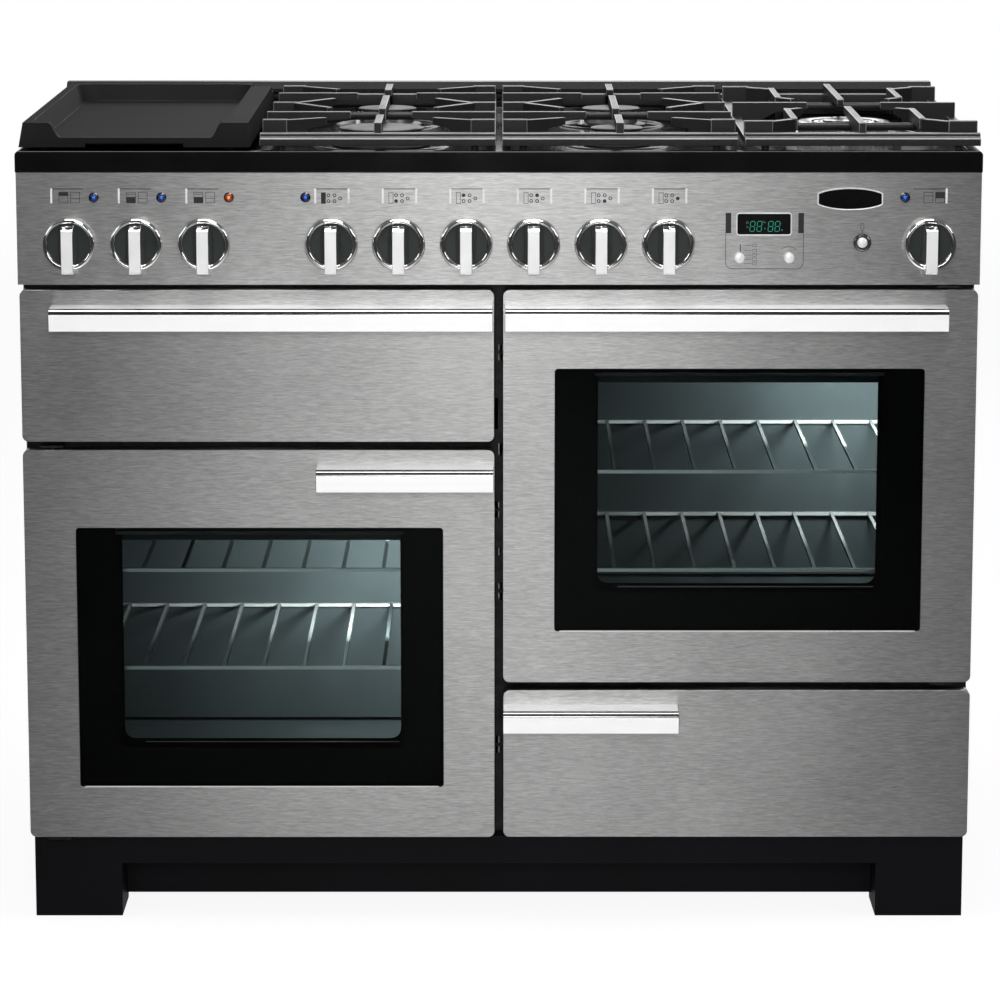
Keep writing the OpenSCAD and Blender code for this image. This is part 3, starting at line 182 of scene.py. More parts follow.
def fadeNode(tree, value, span):
    # one inside the span's first value, smoothly down to zero at its second
    return addNode(tree, "MapRange", {"Value": value, "From Min": span[0], "From Max": span[1], "To Min": 1,
                                      "To Max": 0}, interpolation_type="SMOOTHSTEP").outputs["Result"]


def blendShaders(tree, share, first, second):
    return addNode(tree, "MixShader", {"Fac": share, 1: first.outputs[0], 2: second.outputs[0]})


def newMaterial(name, **settings):
    material = bpy.data.materials.new(name)
    material.use_nodes = True
    tree = material.node_tree
    shader = tree.nodes["Principled BSDF"].inputs
    for label, value in settings.items():
        shader[label.replace("_", " ")].default_value = value
    return tree, shader


def makeWorld():
    # plain pale backdrop for the eye, a soft grey studio for reflections
    world = bpy.data.worlds.new("studio")
    world.use_nodes = True
    bpy.context.scene.world = world
    tree = world.node_tree
    tree.nodes.clear()
    axes = addNode(tree, "SeparateXYZ", {0: addNode(tree, "TexCoord").outputs["Generated"]}).outputs
    high = mathNode(tree, "SUBTRACT", 1.0, fadeNode(tree, axes["Z"], (0.3, 0.95)))
    behind = mathNode(tree, "SUBTRACT", 1.0, fadeNode(tree, axes["Y"], (0.15, 0.6)))
    backdrop = mathNode(tree, "MULTIPLY", behind, fadeNode(tree, axes["Z"], (0.2, 0.55)))
    glow = mathNode(tree, "MULTIPLY_ADD", high, studio["topGlow"], studio["roomGlow"])
    glow = mathNode(tree, "MULTIPLY_ADD", backdrop, studio["backdropGlow"], glow)
    room = addNode(tree, "Background", {"Strength": glow})
    eye = addNode(tree, "Background", {"Color": colour(studio["backColour"])})
    mix = blendShaders(tree, addNode(tree, "LightPath").outputs["Is Camera Ray"], room, eye)
    addNode(tree, "OutputWorld", {"Surface": mix.outputs[0]})


def makeFloor():
    bm = bmesh.new()
    bmesh.ops.create_circle(bm, cap_ends=True, segments=96, radius=studio["floorRadius"])
    floor = addObject("floor", toMesh(bm, "floor"))
    tree = newMaterial("floorPaper", Base_Color=colour(studio["floorColour"]), Roughness=0.8)[0]
    floor.data.materials.append(bpy.data.materials["floorPaper"])
    paper = tree.nodes["Principled BSDF"]
    place = addNode(tree, "TexCoord").outputs["Object"]
    far = addNode(tree, "VectorMath", {0: place}, operation="LENGTH").outputs["Value"]
    # what polished metal sees of the floor: a bright strip in the middle of the studio, dark at its sides
    axes = addNode(tree, "SeparateXYZ", {0: place}).outputs
    side, deep = [mathNode(tree, "ABSOLUTE", axes[axis]) for axis in "XY"]
    strip = mathNode(tree, "MULTIPLY", fadeNode(tree, side, studio["stripEdge"]),
                     fadeNode(tree, deep, studio["stripReach"]))
    start, full, loss = studio["stripNear"]
    shade = mathNode(tree, "MULTIPLY", fadeNode(tree, deep, (start, full)), loss)
    strip = mathNode(tree, "MULTIPLY", strip, mathNode(tree, "SUBTRACT", 1.0, shade))
    strength = mathNode(tree, "MULTIPLY_ADD", strip, studio["stripGlow"], studio["roomGlow"])
    glow = addNode(tree, "Emission", {"Strength": strength})
    bright = addNode(tree, "Emission", {"Strength": studio["floorGlow"]})
    path = addNode(tree, "LightPath").outputs
    lift = mathNode(tree, "MULTIPLY", path["Is Camera Ray"], studio["floorLift"])
    lit = blendShaders(tree, lift, paper, bright)
    seen = blendShaders(tree, path["Is Glossy Ray"], lit, glow)
    clear = addNode(tree, "BsdfTransparent")
    shown = blendShaders(tree, fadeNode(tree, far, studio["floorFade"]), clear, seen)
    tree.links.new(shown.outputs[0], tree.nodes["Material Output"].inputs["Surface"])
    floor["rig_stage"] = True


bpy.context.scene.view_settings.view_transform = "Standard"
makeCamera()
makeLights(softLights, True)
makeLights(hiddenLights, False)
makeWorld()
makeFloor()
print("camera, lights and floor ready")


# shared effects, each a node group placed in the materials with its own values
def newGroup(name, inputs, outputs="Colour Roughness Height"):
    tree = bpy.data.node_groups.new(name, "ShaderNodeTree")
    for way, labels in (("INPUT", inputs), ("OUTPUT", outputs)):
        for label in labels.split():
            kind = "Color" if label in ("Colour", "Dark", "Light", "Fleck") else "Float"
            tree.interface.new_socket(label, in_out=way, socket_type="NodeSocket" + kind)
    place = addNode(tree, "TexCoord").outputs["Object"]
    return tree, place, tree.nodes.new("NodeGroupInput").outputs, tree.nodes.new("NodeGroupOutput").inputs


def noiseNode(tree, place, scale, detail, rough=0.5):
    return addNode(tree, "TexNoise", {"Vector": place, "Scale": scale, "Detail": detail,
                                      "Roughness": rough}).outputs["Fac"]


def spreadNode(tree, value, low, high):
    return addNode(tree, "MapRange", {"Value": value, "From Min": low, "From Max": high}).outputs["Result"]


def blendColours(tree, share, first, second):
    return addNode(tree, "Mix", {"Factor": share, "A": first, "B": second}, data_type="RGBA").outputs["Result"]


def fillSurface(tree, given, out, spread, height):
    tree.links.new(blendColours(tree, spread, given["Dark"], given["Light"]), out["Colour"])
    tree.links.new(mathNode(tree, "MULTIPLY_ADD", spread, given["Range"], given["Rough"]), out["Roughness"])
    tree.links.new(height, out["Height"])


def makeGrainGroup():
    # long fine streaks along X, as a belt leaves them, with slow cloudy patches
    tree, place, given, out = newGroup("brushedGrain", "Along Across Dark Light Rough Range")
    scale = addNode(tree, "CombineXYZ", {"X": given["Along"], "Y": given["Across"], "Z": given["Across"]})
    stretched = addNode(tree, "VectorMath", {0: place, 1: scale.outputs[0]}, operation="MULTIPLY").outputs[0]
    streak = noiseNode(tree, stretched, 1, 3, 0.65)
    cloud = mathNode(tree, "MULTIPLY_ADD", noiseNode(tree, place, 5, 2), 0.25, -0.125)
    spread = spreadNode(tree, mathNode(tree, "ADD", streak, cloud), 0.3, 0.7)
    fillSurface(tree, given, out, spread, spread)
    return tree


def makeSkinGroup():
    # fine even texture of cast, painted, moulded or enamelled skins, with slow patches
    tree, place, given, out = newGroup("castSkin", "Size Patch Dark Light Rough Range")
    fine = noiseNode(tree, place, given["Size"], 4, 0.6)
    half = mathNode(tree, "MULTIPLY", fine, 0.5)
    blend = mathNode(tree, "MULTIPLY_ADD", noiseNode(tree, place, given["Patch"], 3), 0.5, half)
    fillSurface(tree, given, out, spreadNode(tree, blend, 0.32, 0.68), fine)
    return tree


def makeFleckGroup():
    # small pale flecks scattered in enamel
    tree, place, given, out = newGroup("enamelFlecks", "Colour Fleck Size Share", "Colour")
    cells = addNode(tree, "TexVoronoi", {"Scale": given["Size"], "Vector": place})
    near = mathNode(tree, "LESS_THAN", cells.outputs["Distance"], given["Share"])
    tree.links.new(blendColours(tree, near, given["Colour"], given["Fleck"]), out["Colour"])
    return tree


grainGroup = makeGrainGroup()
skinGroup = makeSkinGroup()
fleckGroup = makeFleckGroup()


def placeGroup(tree, group, **values):
    return addNode(tree, "Group", values, node_tree=group).outputs


def coverWith(tree, shader, group, bump, depth, **values):
    given = placeGroup(tree, group, **values)
    tree.links.new(given["Colour"], shader["Base Color"])
    tree.links.new(given["Roughness"], shader["Roughness"])
    if bump:
        lift = addNode(tree, "Bump", {"Strength": bump, "Distance": depth, "Height": given["Height"]})
        tree.links.new(lift.outputs["Normal"], shader["Normal"])
    return given


def brushedMaterial(name, dark, light, rough, along=22.0, across=900.0, roughRange=0.08, bump=0.12, warm=0.005,
                    **settings):
    tree, shader = newMaterial(name, Metallic=1.0, **settings)
    coverWith(tree, shader, grainGroup, bump, 0.0002, Along=along, Across=across, Dark=colour(dark, warm),
              Light=colour(light, warm), Rough=rough, Range=roughRange)
    if "Anisotropic" in settings:
        tangent = addNode(tree, "Tangent", direction_type="RADIAL", axis="Z")
        tree.links.new(tangent.outputs[0], shader["Tangent"])


def skinMaterial(name, dark, light, rough, size=900.0, patch=14.0, roughRange=0.1, bump=0.2, depth=0.0003,
                 warm=0.0, **settings):
    tree, shader = newMaterial(name, **settings)
    coverWith(tree, shader, skinGroup, bump, depth, Size=size, Patch=patch, Dark=colour(dark, warm),
              Light=colour(light, warm), Rough=rough, Range=roughRange)


def enamelMaterial(name, dark, light, fleck):
    tree, shader = newMaterial(name, Specular_IOR_Level=0.25)
    skin = coverWith(tree, shader, skinGroup, 0.15, 0.0003, Size=500, Patch=9, Dark=colour(dark),
                     Light=colour(light), Rough=0.5, Range=0.12)
    flecks = placeGroup(tree, fleckGroup, Colour=skin["Colour"], Fleck=colour(fleck), Size=240, Share=0.08)
    tree.links.new(flecks["Colour"], shader["Base Color"])


def glowMaterial(name, glow, strength):
    tree, shader = newMaterial(name, Emission_Color=colour(glow), Emission_Strength=strength)
    dark, light = [colour([value * share for value in glow]) for share in (0.5, 0.7)]
    skin = placeGroup(tree, skinGroup, Size=2000, Patch=14, Dark=dark, Light=light)
    tree.links.new(skin["Colour"], shader["Base Color"])


def jewelMaterial(name, dark, light, glow):
    # moulded lens: deep colour with lighter patches and a little light of its own
    tree, shader = newMaterial(name, Roughness=0.08, Coat_Weight=1.0, Coat_Roughness=0.02,
                               Emission_Strength=glow)
    skin = placeGroup(tree, skinGroup, Size=700, Patch=260, Dark=colour(dark), Light=colour(light))
    for label in ("Base Color", "Emission Color"):
        tree.links.new(skin["Colour"], shader[label])


brushedMaterial("brushedSteel", 0.38, 0.66, 0.33, along=75.0, across=1150.0, roughRange=0.05, bump=0.08,
                warm=0.006, Anisotropic=0.8, Anisotropic_Rotation=0.25)
# near-black steel: painted as the shade on the front frame and hinge brackets in the gaps round the doors; also
# the skirt round each burner head
brushedMaterial("shadeSteel", 0.035, 0.07, 0.42, along=60, across=70, bump=0.03)
# the handles' top and front faces: pale satin painted as their highlights
skinMaterial("satinHandle", 0.93, 0.95, 0.28, size=1500, patch=30, roughRange=0.01, bump=0, Metallic=0.3)
brushedMaterial("polishedSteel", 0.82, 0.9, 0.07, along=60, across=60, roughRange=0.03, bump=0)
# pale satin for the clock knobs, button dome and display rim, also painted on the knob grips' fronts as their
# highlight
skinMaterial("satinGrip", 0.82, 0.92, 0.3, size=1800, patch=40, bump=0.05, Metallic=0.5)
brushedMaterial("zincSteel", 0.5, 0.68, 0.38, along=60, across=70, roughRange=0.14, bump=0.03)
brushedMaterial("stainlessPlain", 0.5, 0.62, 0.3, along=40, across=500, bump=0.05)
skinMaterial("brassMetal", (0.6, 0.42, 0.16), (0.72, 0.52, 0.22), 0.25, bump=0.05, Metallic=1.0)
skinMaterial("railBlack", 0.004, 0.008, 0.25, size=500, bump=0.05, Specular_IOR_Level=0.2)
skinMaterial("wireChrome", 0.75, 0.85, 0.18, bump=0, Metallic=0.7)
brushedMaterial("elementSteel", 0.16, 0.26, 0.42, along=300, across=300, bump=0.05, warm=0.05)
skinMaterial("glossBlack", 0.0014, 0.0026, 0.09, size=300, patch=20, roughRange=0.05, bump=0.03,
             Specular_IOR_Level=0.5)
skinMaterial("satinBlack", (0.0025, 0.0025, 0.003), (0.0045, 0.0045, 0.006), 0.36, size=500, patch=5,
             bump=0.06, Specular_IOR_Level=0.12)
skinMaterial("sideEnamel", 0.012, 0.018, 0.22, size=260, patch=6, bump=0.12, Coat_Weight=0.3,
             Coat_Roughness=0.1)
skinMaterial("castIron", 0.008, 0.014, 0.34, size=1100, patch=16, roughRange=0.12, bump=0.3, depth=0.0004,
             Specular_IOR_Level=0.35)
# lighter iron painted as highlights along rounded edges
skinMaterial("edgeIron", 0.14, 0.24, 0.3, size=1100, bump=0.1, Metallic=0.5)
# lighter iron painted as the light line along the griddle's front ridge
skinMaterial("wornIron", 0.12, 0.2, 0.45, size=1400)
skinMaterial("griddleIron", 0.009, 0.014, 0.62, size=1400, patch=10, roughRange=0.08, bump=0.3,
             Specular_IOR_Level=0.03)
skinMaterial("capEnamel", 0.008, 0.014, 0.36, patch=30, bump=0.12, Specular_IOR_Level=0.08)
skinMaterial("burnerAlloy", 0.42, 0.62, 0.32, patch=40, bump=0.15, warm=0.02, Metallic=1.0)
skinMaterial("darkPlastic", 0.02, 0.035, 0.5, size=1200)
skinMaterial("footPlastic", 0.02, 0.03, 0.55, bump=0.25)
skinMaterial("woolFibre", (0.35, 0.3, 0.2), (0.52, 0.46, 0.33), 0.9, size=420, patch=60, bump=0.9, depth=0.002)
skinMaterial("knobDisc", (0.012, 0.016, 0.015), (0.018, 0.023, 0.021), 0.24, size=1500, bump=0.05)
skinMaterial("inkBlack", 0.012, 0.02, 0.45, size=2500, bump=0)
skinMaterial("inkGrey", 0.1, 0.14, 0.5, size=2500, bump=0)
enamelMaterial("ovenEnamel", (0.021, 0.025, 0.027), (0.033, 0.04, 0.042), (0.15, 0.17, 0.17))
skinMaterial("fritBlack", 0.0015, 0.003, 0.3, size=1500, bump=0, Specular_IOR_Level=0.05)
skinMaterial("doorGlass", (0.8, 0.86, 0.85), (0.8, 0.86, 0.85), 0.0, size=60, patch=6, roughRange=0.015,
             bump=0, Transmission_Weight=1.0, IOR=1.1, Metallic=0.0, Specular_IOR_Level=0.1)
skinMaterial("hobGlass", 0.004, 0.007, 0.06, size=200, bump=0, Coat_Weight=0.6)
# bright metal painted as highlights: ends of the pressed lines, the badge rim, the glint under each window
skinMaterial("brightEdge", 0.75, 0.85, 0.25, bump=0, Metallic=0.4)
brushedMaterial("ringChrome", 0.84, 0.9, 0.03, along=80, across=80, roughRange=0.02, bump=0)
# dark chrome for the bezels of the lamps and the button, also painted on the handles' noses as their dark
# reflection
brushedMaterial("darkChrome", 0.2, 0.26, 0.12, along=90, across=90, roughRange=0.03, bump=0)
# lens colours; the hearts are brighter centres painted as each lens's highlight
jewelMaterial("blueJewel", (0.001, 0.006, 0.05), (0.002, 0.014, 0.1), 0.05)
jewelMaterial("blueHeart", (0.01, 0.08, 0.4), (0.02, 0.14, 0.6), 0.3)
jewelMaterial("orangeJewel", (0.12, 0.014, 0.002), (0.26, 0.04, 0.004), 0.1)
jewelMaterial("orangeHeart", (0.7, 0.16, 0.03), (0.9, 0.3, 0.06), 0.35)
skinMaterial("displayGlass", 0.003, 0.005, 0.08, bump=0)
glowMaterial("displayTeal", (0.004, 0.16, 0.11), 0.8)
skinMaterial("capGloss", 0.01, 0.02, 0.2, size=700, patch=30, bump=0.1, Coat_Weight=0.4, Coat_Roughness=0.08)
skinMaterial("ceramicWhite", 0.72, 0.8, 0.25, bump=0.05, warm=0.02)
print("materials ready:", len(bpy.data.materials))


# mesh helpers
def copyOfNode(name):
    # the node's triangles, merged into whole faces so that its edges can be rounded
    bm = bmesh.new()
    bm.from_mesh(nodes[name].data)
    bmesh.ops.remove_doubles(bm, verts=bm.verts, dist=0.005 * mm)
    bmesh.ops.dissolve_limit(bm, angle_limit=math.radians(0.5), verts=bm.verts, edges=bm.edges)
    return bm


def moveBy(bm, matrix):
    bmesh.ops.transform(bm, matrix=matrix, verts=bm.verts)


def at(x, y, z):
    return Matrix.Translation(Vector((x, y, z)) * mm)


def turned(degrees, axis):
    return Matrix.Rotation(math.radians(degrees), 4, axis)


def upright(x, y, z):
    # from flat in X and Y, face up, to standing on a front with its face towards -Y
    return at(x, y, z) @ turned(90, "X")


def bevelEdges(bm, edges, width, segments=2):
    bmesh.ops.bevel(bm, geom=list(edges), offset=width * mm, offset_type="OFFSET", segments=segments,
                    profile=0.5, affect="EDGES", clamp_overlap=True, material=-1)


def roundEdges(bm, width):
    bevelEdges(bm, [edge for edge in bm.edges if len(edge.link_faces) == 2
                    and edge.calc_face_angle(0) >= math.radians(28)], width)


def paintNode(node, material):
    mesh = nodes[node].data
    mesh.materials.clear()
    mesh.materials.append(bpy.data.materials[material])


def finishPiece(bm, name, materials, node=None, smooth=38):
    # takes the place of a node, or else belongs to the carcase; materials are named in one line
    mesh = toMesh(bm, name)
    for one in materials.split():
        mesh.materials.append(bpy.data.materials[one])
    piece = addObject(name, mesh)
    if smooth:
        mesh.polygons.foreach_set("use_smooth", [True] * len(mesh.polygons))
        mesh.set_sharp_from_angle(angle=math.radians(smooth))
        normals = piece.modifiers.new("evenNormals", "WEIGHTED_NORMAL")
        normals.keep_sharp = True
        normals.weight = 80
    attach(piece, nodes[node]["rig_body"] if node else "carcase")
    if node:
        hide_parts(node)
        paintNode(node, materials.split()[0])


def dress(node, material, width):
    # a rounded copy of the node takes its place
    bm = copyOfNode(node)
    roundEdges(bm, width)
    first, *rest = node.split("_")
    finishPiece(bm, first + "".join(word.capitalize() for word in rest) + "Dressed", material, node)


def dressHandle(node):
    # front and top painted bright as highlights, the nose between them painted dark as its reflection, polished
    # ends
    bm = copyOfNode(node)
    roundEdges(bm, 0.4)
    for face in bm.faces:
        if (face.normal.y < -0.98 and face.normal.z < 0.02) or face.normal.z > 0.995:
            face.material_index = 1
        elif face.normal.y < -0.05 and face.normal.z > 0.05:
            face.material_index = 2
    words = node.split("_")
    finishPiece(bm, words[0] + "HandleShaped" + str(len(words)), "polishedSteel satinHandle darkChrome",
                node)


def addTo(target, source, material=None, turn=None):
    # moves one bmesh into another, with its own material number and place
    if material is not None:
        for face in source.faces:
            face.material_index = material
    if turn is not None:
        moveBy(source, turn)
    mesh = toMesh(source, "moved")
    target.from_mesh(mesh)
    bpy.data.meshes.remove(mesh)


def markEdges(bm, material, wide=0.9):
    # the narrow slanting faces of rounded edges, except those facing down, take a lighter material of their
    # own, painted as highlights
    for face in bm.faces:
        if face.normal.z > -0.1 and max(abs(value) for value in face.normal) < 0.95:
            if face.calc_area() < wide * mm * face.calc_perimeter() / 2:
                face.material_index = material


def lathe(outline, place=(0, 0, 0), facing="up", steps=64, closed=False):
    # outline of (radius, height) pairs, turned fully round its axis; facing "front" looks to -Y
    bm = bmesh.new()
    chain = [bm.verts.new((radius * mm, 0, height * mm)) for radius, height in outline]
    edges = [bm.edges.new(pair) for pair in zip(chain, chain[1:])]
    if closed:
        edges.append(bm.edges.new((chain[-1], chain[0])))
    bmesh.ops.spin(bm, geom=chain + edges, cent=(0, 0, 0), axis=(0, 0, 1), dvec=(0, 0, 0),
                   angle=math.tau, steps=steps, use_merge=True, use_duplicate=False)
    bmesh.ops.remove_doubles(bm, verts=bm.verts, dist=0.002 * mm)
    bmesh.ops.recalc_face_normals(bm, faces=bm.faces)
    moveBy(bm, upright(*place) if facing == "front" else at(*place))
    return bm


def block(low, high, bevel=0, segments=2):
    # box between two corners
    bm = bmesh.new()
    size = [b - a for a, b in zip(low, high)]
    middle = [(a + b) / 2 for a, b in zip(low, high)]
    bmesh.ops.create_cube(bm, size=1)
    moveBy(bm, at(*middle) @ Matrix.Diagonal((size[0] * mm, size[1] * mm, size[2] * mm, 1)))
    if bevel:
        bevelEdges(bm, bm.edges, bevel, segments)
    return bm


def rod(start, end, radius, sides=10):
    # round bar between two points
    bm = bmesh.new()
    a, b = Vector(start) * mm, Vector(end) * mm
    turn = (b - a).to_track_quat("Z", "Y").to_matrix().to_4x4()
    bmesh.ops.create_cone(bm, cap_ends=True, segments=sides, radius1=radius * mm, radius2=radius * mm,
                          depth=(b - a).length, matrix=Matrix.Translation((a + b) / 2) @ turn)
    return bm


def thicken(bm, thick):
    # grows the flat faces upwards along +Z into a closed plate
    grown = bmesh.ops.extrude_face_region(bm, geom=list(bm.faces))
    lifted = [item for item in grown["geom"] if isinstance(item, bmesh.types.BMVert)]
    bmesh.ops.translate(bm, verts=lifted, vec=(0, 0, thick * mm))
    bmesh.ops.recalc_face_normals(bm, faces=bm.faces)


def cornerPoints(width, height, radius, corner):
    # outline of a rounded rectangle, counter-clockwise
    points = []
    for side, top, start in ((1, 1, 0), (-1, 1, 90), (-1, -1, 180), (1, -1, 270)):
        for step in range(corner + 1):
            angle = math.radians(start + 90 * step / corner)
            points.append((side * (width / 2 - radius) + radius * math.cos(angle),
                           top * (height / 2 - radius) + radius * math.sin(angle)))
    return points


def flatFace(outline):
    bm = bmesh.new()
    bm.faces.new([bm.verts.new((u * mm, v * mm, 0)) for u, v in outline])
    return bm


def stripBetween(outer, inner, closed=True):
    # flat faces between two outlines with the same number of points
    bm = bmesh.new()
    outside, inside = [[bm.verts.new((u * mm, v * mm, 0)) for u, v in line] for line in (outer, inner)]
    for number in range(len(outer) if closed else len(outer) - 1):
        after = (number + 1) % len(outer)
        bm.faces.new((outside[number], outside[after], inside[after], inside[number]))
    return bm


def slab(width, height, radius, thick, bevel=0, corner=6, rim=0):
    # flat plate in X and Y with rounded corners; with a rim it is a frame of that width
    outer = cornerPoints(width, height, radius, corner)
    bm = stripBetween(outer, cornerPoints(width - 2 * rim, height - 2 * rim, max(radius - rim, 0),
                                          corner)) if rim else flatFace(outer)
    bmesh.ops.remove_doubles(bm, verts=bm.verts, dist=0.002 * mm)
    thicken(bm, thick)
    if bevel:
        bevelEdges(bm, [edge for edge in bm.edges if abs(edge.verts[0].co.z - edge.verts[1].co.z) < 1e-7
                        and edge.verts[0].co.z > thick * mm / 2 and edge.calc_face_angle(0) > 0.8], bevel)
    return bm


def plate(outline, thick, bevel=0, segments=2):
    # outline of (u, v) points, standing in X and Z, thick along Y about its middle
    bm = flatFace(outline)
    thicken(bm, thick)
    if bevel:
        bevelEdges(bm, [edge for edge in bm.edges if edge.calc_face_angle(0) > 0.5], bevel, segments)
    moveBy(bm, upright(0, thick / 2, 0))
    return bm


def carve(solid, *cutters):
    # takes closed shapes out of a closed shape
    objects = [addObject("carving", toMesh(bm, "carving")) for bm in (solid, *cutters)]
    for cutter in objects[1:]:
        cut = objects[0].modifiers.new("cut", "BOOLEAN")
        cut.operation = "DIFFERENCE"
        cut.solver = "EXACT"
        cut.object = cutter
    result = bmesh.new()
    result.from_object(objects[0], bpy.context.evaluated_depsgraph_get())
    for one in objects:
        bpy.data.meshes.remove(one.data)
    bmesh.ops.remove_doubles(result, verts=result.verts, dist=0.002 * mm)
    return result


# pieces of the control panel
front = -284.0
knob = {
    "ring": [(0, 0.5), (29.8, 0.5), (30.2, 1.5), (30.2, 6.2), (29.7, 8.4), (28.6, 10.0), (27.3, 10.7),
             (26.0, 10.5), (24.9, 9.7), (24.2, 8.5), (23.8, 7.4), (0, 7.0)],
    "discRadius": 23.4,
    "gripWidth": 13.8,
    "gripSide": [(-31.4, 5.5), (-31.8, 27.8), (-30.2, 29.4), (17.4, 29.4), (18.8, 28.0), (22.8, 6.0)],
    "grooves": (9.1, 11.4),
    "places": {"grill_knob": -489.5, "oven_function_knob": -412.7, "oven_heat_knob": -335.9,
               "ceramic_knob": -190.8, "gas_knob_1": -114.0, "gas_knob_2": -37.2, "gas_knob_3": 39.6,
               "gas_knob_4": 116.4, "gas_knob_5": 193.2, "right_oven_knob": 491.0},
    "height": 799.5,
}
for node, x in knob["places"].items():
    bm = lathe(knob["ring"], facing="front", steps=72)
    for face in bm.faces:
        middle = face.calc_center_median()
        if math.hypot(middle.x, middle.z) < knob["discRadius"] * mm and middle.y < -6 * mm:
            face.material_index = 1
    for groove in knob["grooves"]:
        reach = math.sqrt(knob["discRadius"] ** 2 - groove ** 2) - 0.8
        for side in (-1, 1):
            addTo(bm, block((side * groove - 0.55, -8.3, -reach), (side * groove + 0.55, -6.5, reach), 0.3), 1)
    grip = plate(knob["gripSide"], knob["gripWidth"], 0.8, 3)
    moveBy(grip, Matrix(((0, 1, 0, 0), (0, 0, -1, 0), (1, 0, 0, 0), (0, 0, 0, 1))))
    bmesh.ops.recalc_face_normals(grip, faces=grip.faces)
    # the grip's front faces take the pale satin, painted as the bright reflection along the bar
    for face in grip.faces:
        face.material_index = 2 if face.normal.y < -0.9 else 0
    addTo(bm, grip)
    moveBy(bm, at(x, front, knob["height"]))
    finishPiece(bm, node.replace("_", "") + "Chrome", "ringChrome knobDisc satinGrip", node, 40)
print("knobs turned")


clock = {
    "knobs": {"clock_knob_left": 273.7, "clock_knob_right": 330.3},
    "knobHeight": 784.3,
    "knobShape": [(0, 0.5), (5.0, 0.5), (5.0, 2.0), (5.9, 2.6), (6.0, 9.6), (5.6, 11.2), (4.6, 11.9),
                  (0, 12.0)],
    "buttonPlace": (414.0, 801.0),
    "bezelShape": [(6.5, -1), (10.2, -1), (10.35, 0.8), (9.9, 2.2), (9.0, 3.2), (8.0, 3.4), (7.3, 2.8),
                   (6.8, 1.2)],
    "buttonShape": [(0, -1), (6.0, -1), (6.1, 1.5), (5.9, 2.9), (5.2, 4.0), (3.9, 4.7), (2.0, 4.95), (0, 5.0)],
}
for node, x in clock["knobs"].items():
    finishPiece(lathe(clock["knobShape"], (x, front, clock["knobHeight"]), "front", 40),
                node.replace("_", "") + "Turned", "satinGrip", node)
buttonX, buttonZ = clock["buttonPlace"]
finishPiece(lathe(clock["buttonShape"], (buttonX, front, buttonZ), "front", 48), "lightButtonDome", "satinGrip",
            "light_button")
finishPiece(lathe(clock["bezelShape"], (buttonX, front, buttonZ), "front", 56, closed=True), "lightButtonBezel",
            "darkChrome")


lamps = {
    "height": 852.5,
    "blue": (-460.5, -383.7, -219.8, 462.0),
    "orange": (-306.9,),
    "bezel": [(4.2, -0.5), (5.9, -0.5), (5.95, 0.6), (5.5, 1.3), (4.9, 1.4), (4.5, 0.9)],
    "jewel": [(0, -0.5), (4.55, -0.5), (4.5, 0.8), (3.9, 1.7), (3.0, 2.2), (1.9, 2.3), (0, 2.3)],
    "heart": [(0, 2.0), (1.9, 2.0), (1.8, 2.55), (1.2, 2.9), (0, 3.0)],
}
display = {
    "place": (302.0, 822.0),
    "window": (60.4, 23.4, 2.6),
    "rim": (63.4, 26.4, 3.8, 1.4),
    "digits": (-13.2, -5.3, 7.5, 15.3),
    "digitSize": (5.2, 11.4, 0.8),
    "digitDrop": -2.6,
    "lean": 0.09,
    "signs": ((-19.0, 1.8, 1.5), (-19.0, -3.6, 1.1), (20.5, -6.8, 0.9), (-0.6, 2.6, 0.9)),
}


def sevenSegments(width, height, line, lean):
    # the seven bars of one digit, all lit
    bm = bmesh.new()
    half, gap = height / 2, 0.25
    for level in (-half, 0, half):
        addTo(bm, block((-width / 2 + line * 0.6, level - line / 2, 0),
                        (width / 2 - line * 0.6, level + line / 2, 0.1)))
    for x in (-width / 2, width / 2):
        for low, high in ((-half + line / 2 + gap, -line / 2 - gap), (line / 2 + gap, half - line / 2 - gap)):
            addTo(bm, block((x - line / 2, low, 0), (x + line / 2, high, 0.1)))
    for vert in bm.verts:
        vert.co.x += vert.co.y * lean
    return bm


bm = bmesh.new()
for group, jewel in ((lamps["blue"], 1), (lamps["orange"], 2)):
    for x in group:
        place = (x, front, lamps["height"])
        addTo(bm, lathe(lamps["bezel"], place, "front", 32, closed=True), 0)
        addTo(bm, lathe(lamps["jewel"], place, "front", 32), jewel)
        # a brighter centre in each lens, painted as its highlight
        addTo(bm, lathe(lamps["heart"], place, "front", 24), jewel + 5)
x, z = display["place"]
addTo(bm, slab(*display["window"], 1.4, 0.2), 3, upright(x, front + 0.9, z))
for shift in display["digits"]:
    addTo(bm, sevenSegments(*display["digitSize"], display["lean"]), 4,
          upright(x + shift, front - 0.5, z + display["digitDrop"]))
for drop in (1.8, -5.0):
    addTo(bm, block((-0.5, -0.5, 0), (0.5, 0.5, 0.1)), 4, upright(x + 1.1, front - 0.5, z + drop))
for shift, drop, size in display["signs"]:
    addTo(bm, slab(size * 2, size * 2, size, 0.1, rim=0.35), 5, upright(x + shift, front - 0.5, z + drop))
finishPiece(bm, "panelLampsAndDisplay",
            "darkChrome blueJewel orangeJewel displayGlass displayTeal inkGrey blueHeart orangeHeart",
            "panel_lenses")
width, height, radius, rim = display["rim"]
bm = slab(width, height, radius, 1.3, 0.5, rim=rim)
moveBy(bm, upright(x, front, z))
finishPiece(bm, "displayRim", "satinGrip")
print("lamps, display and clock ready")


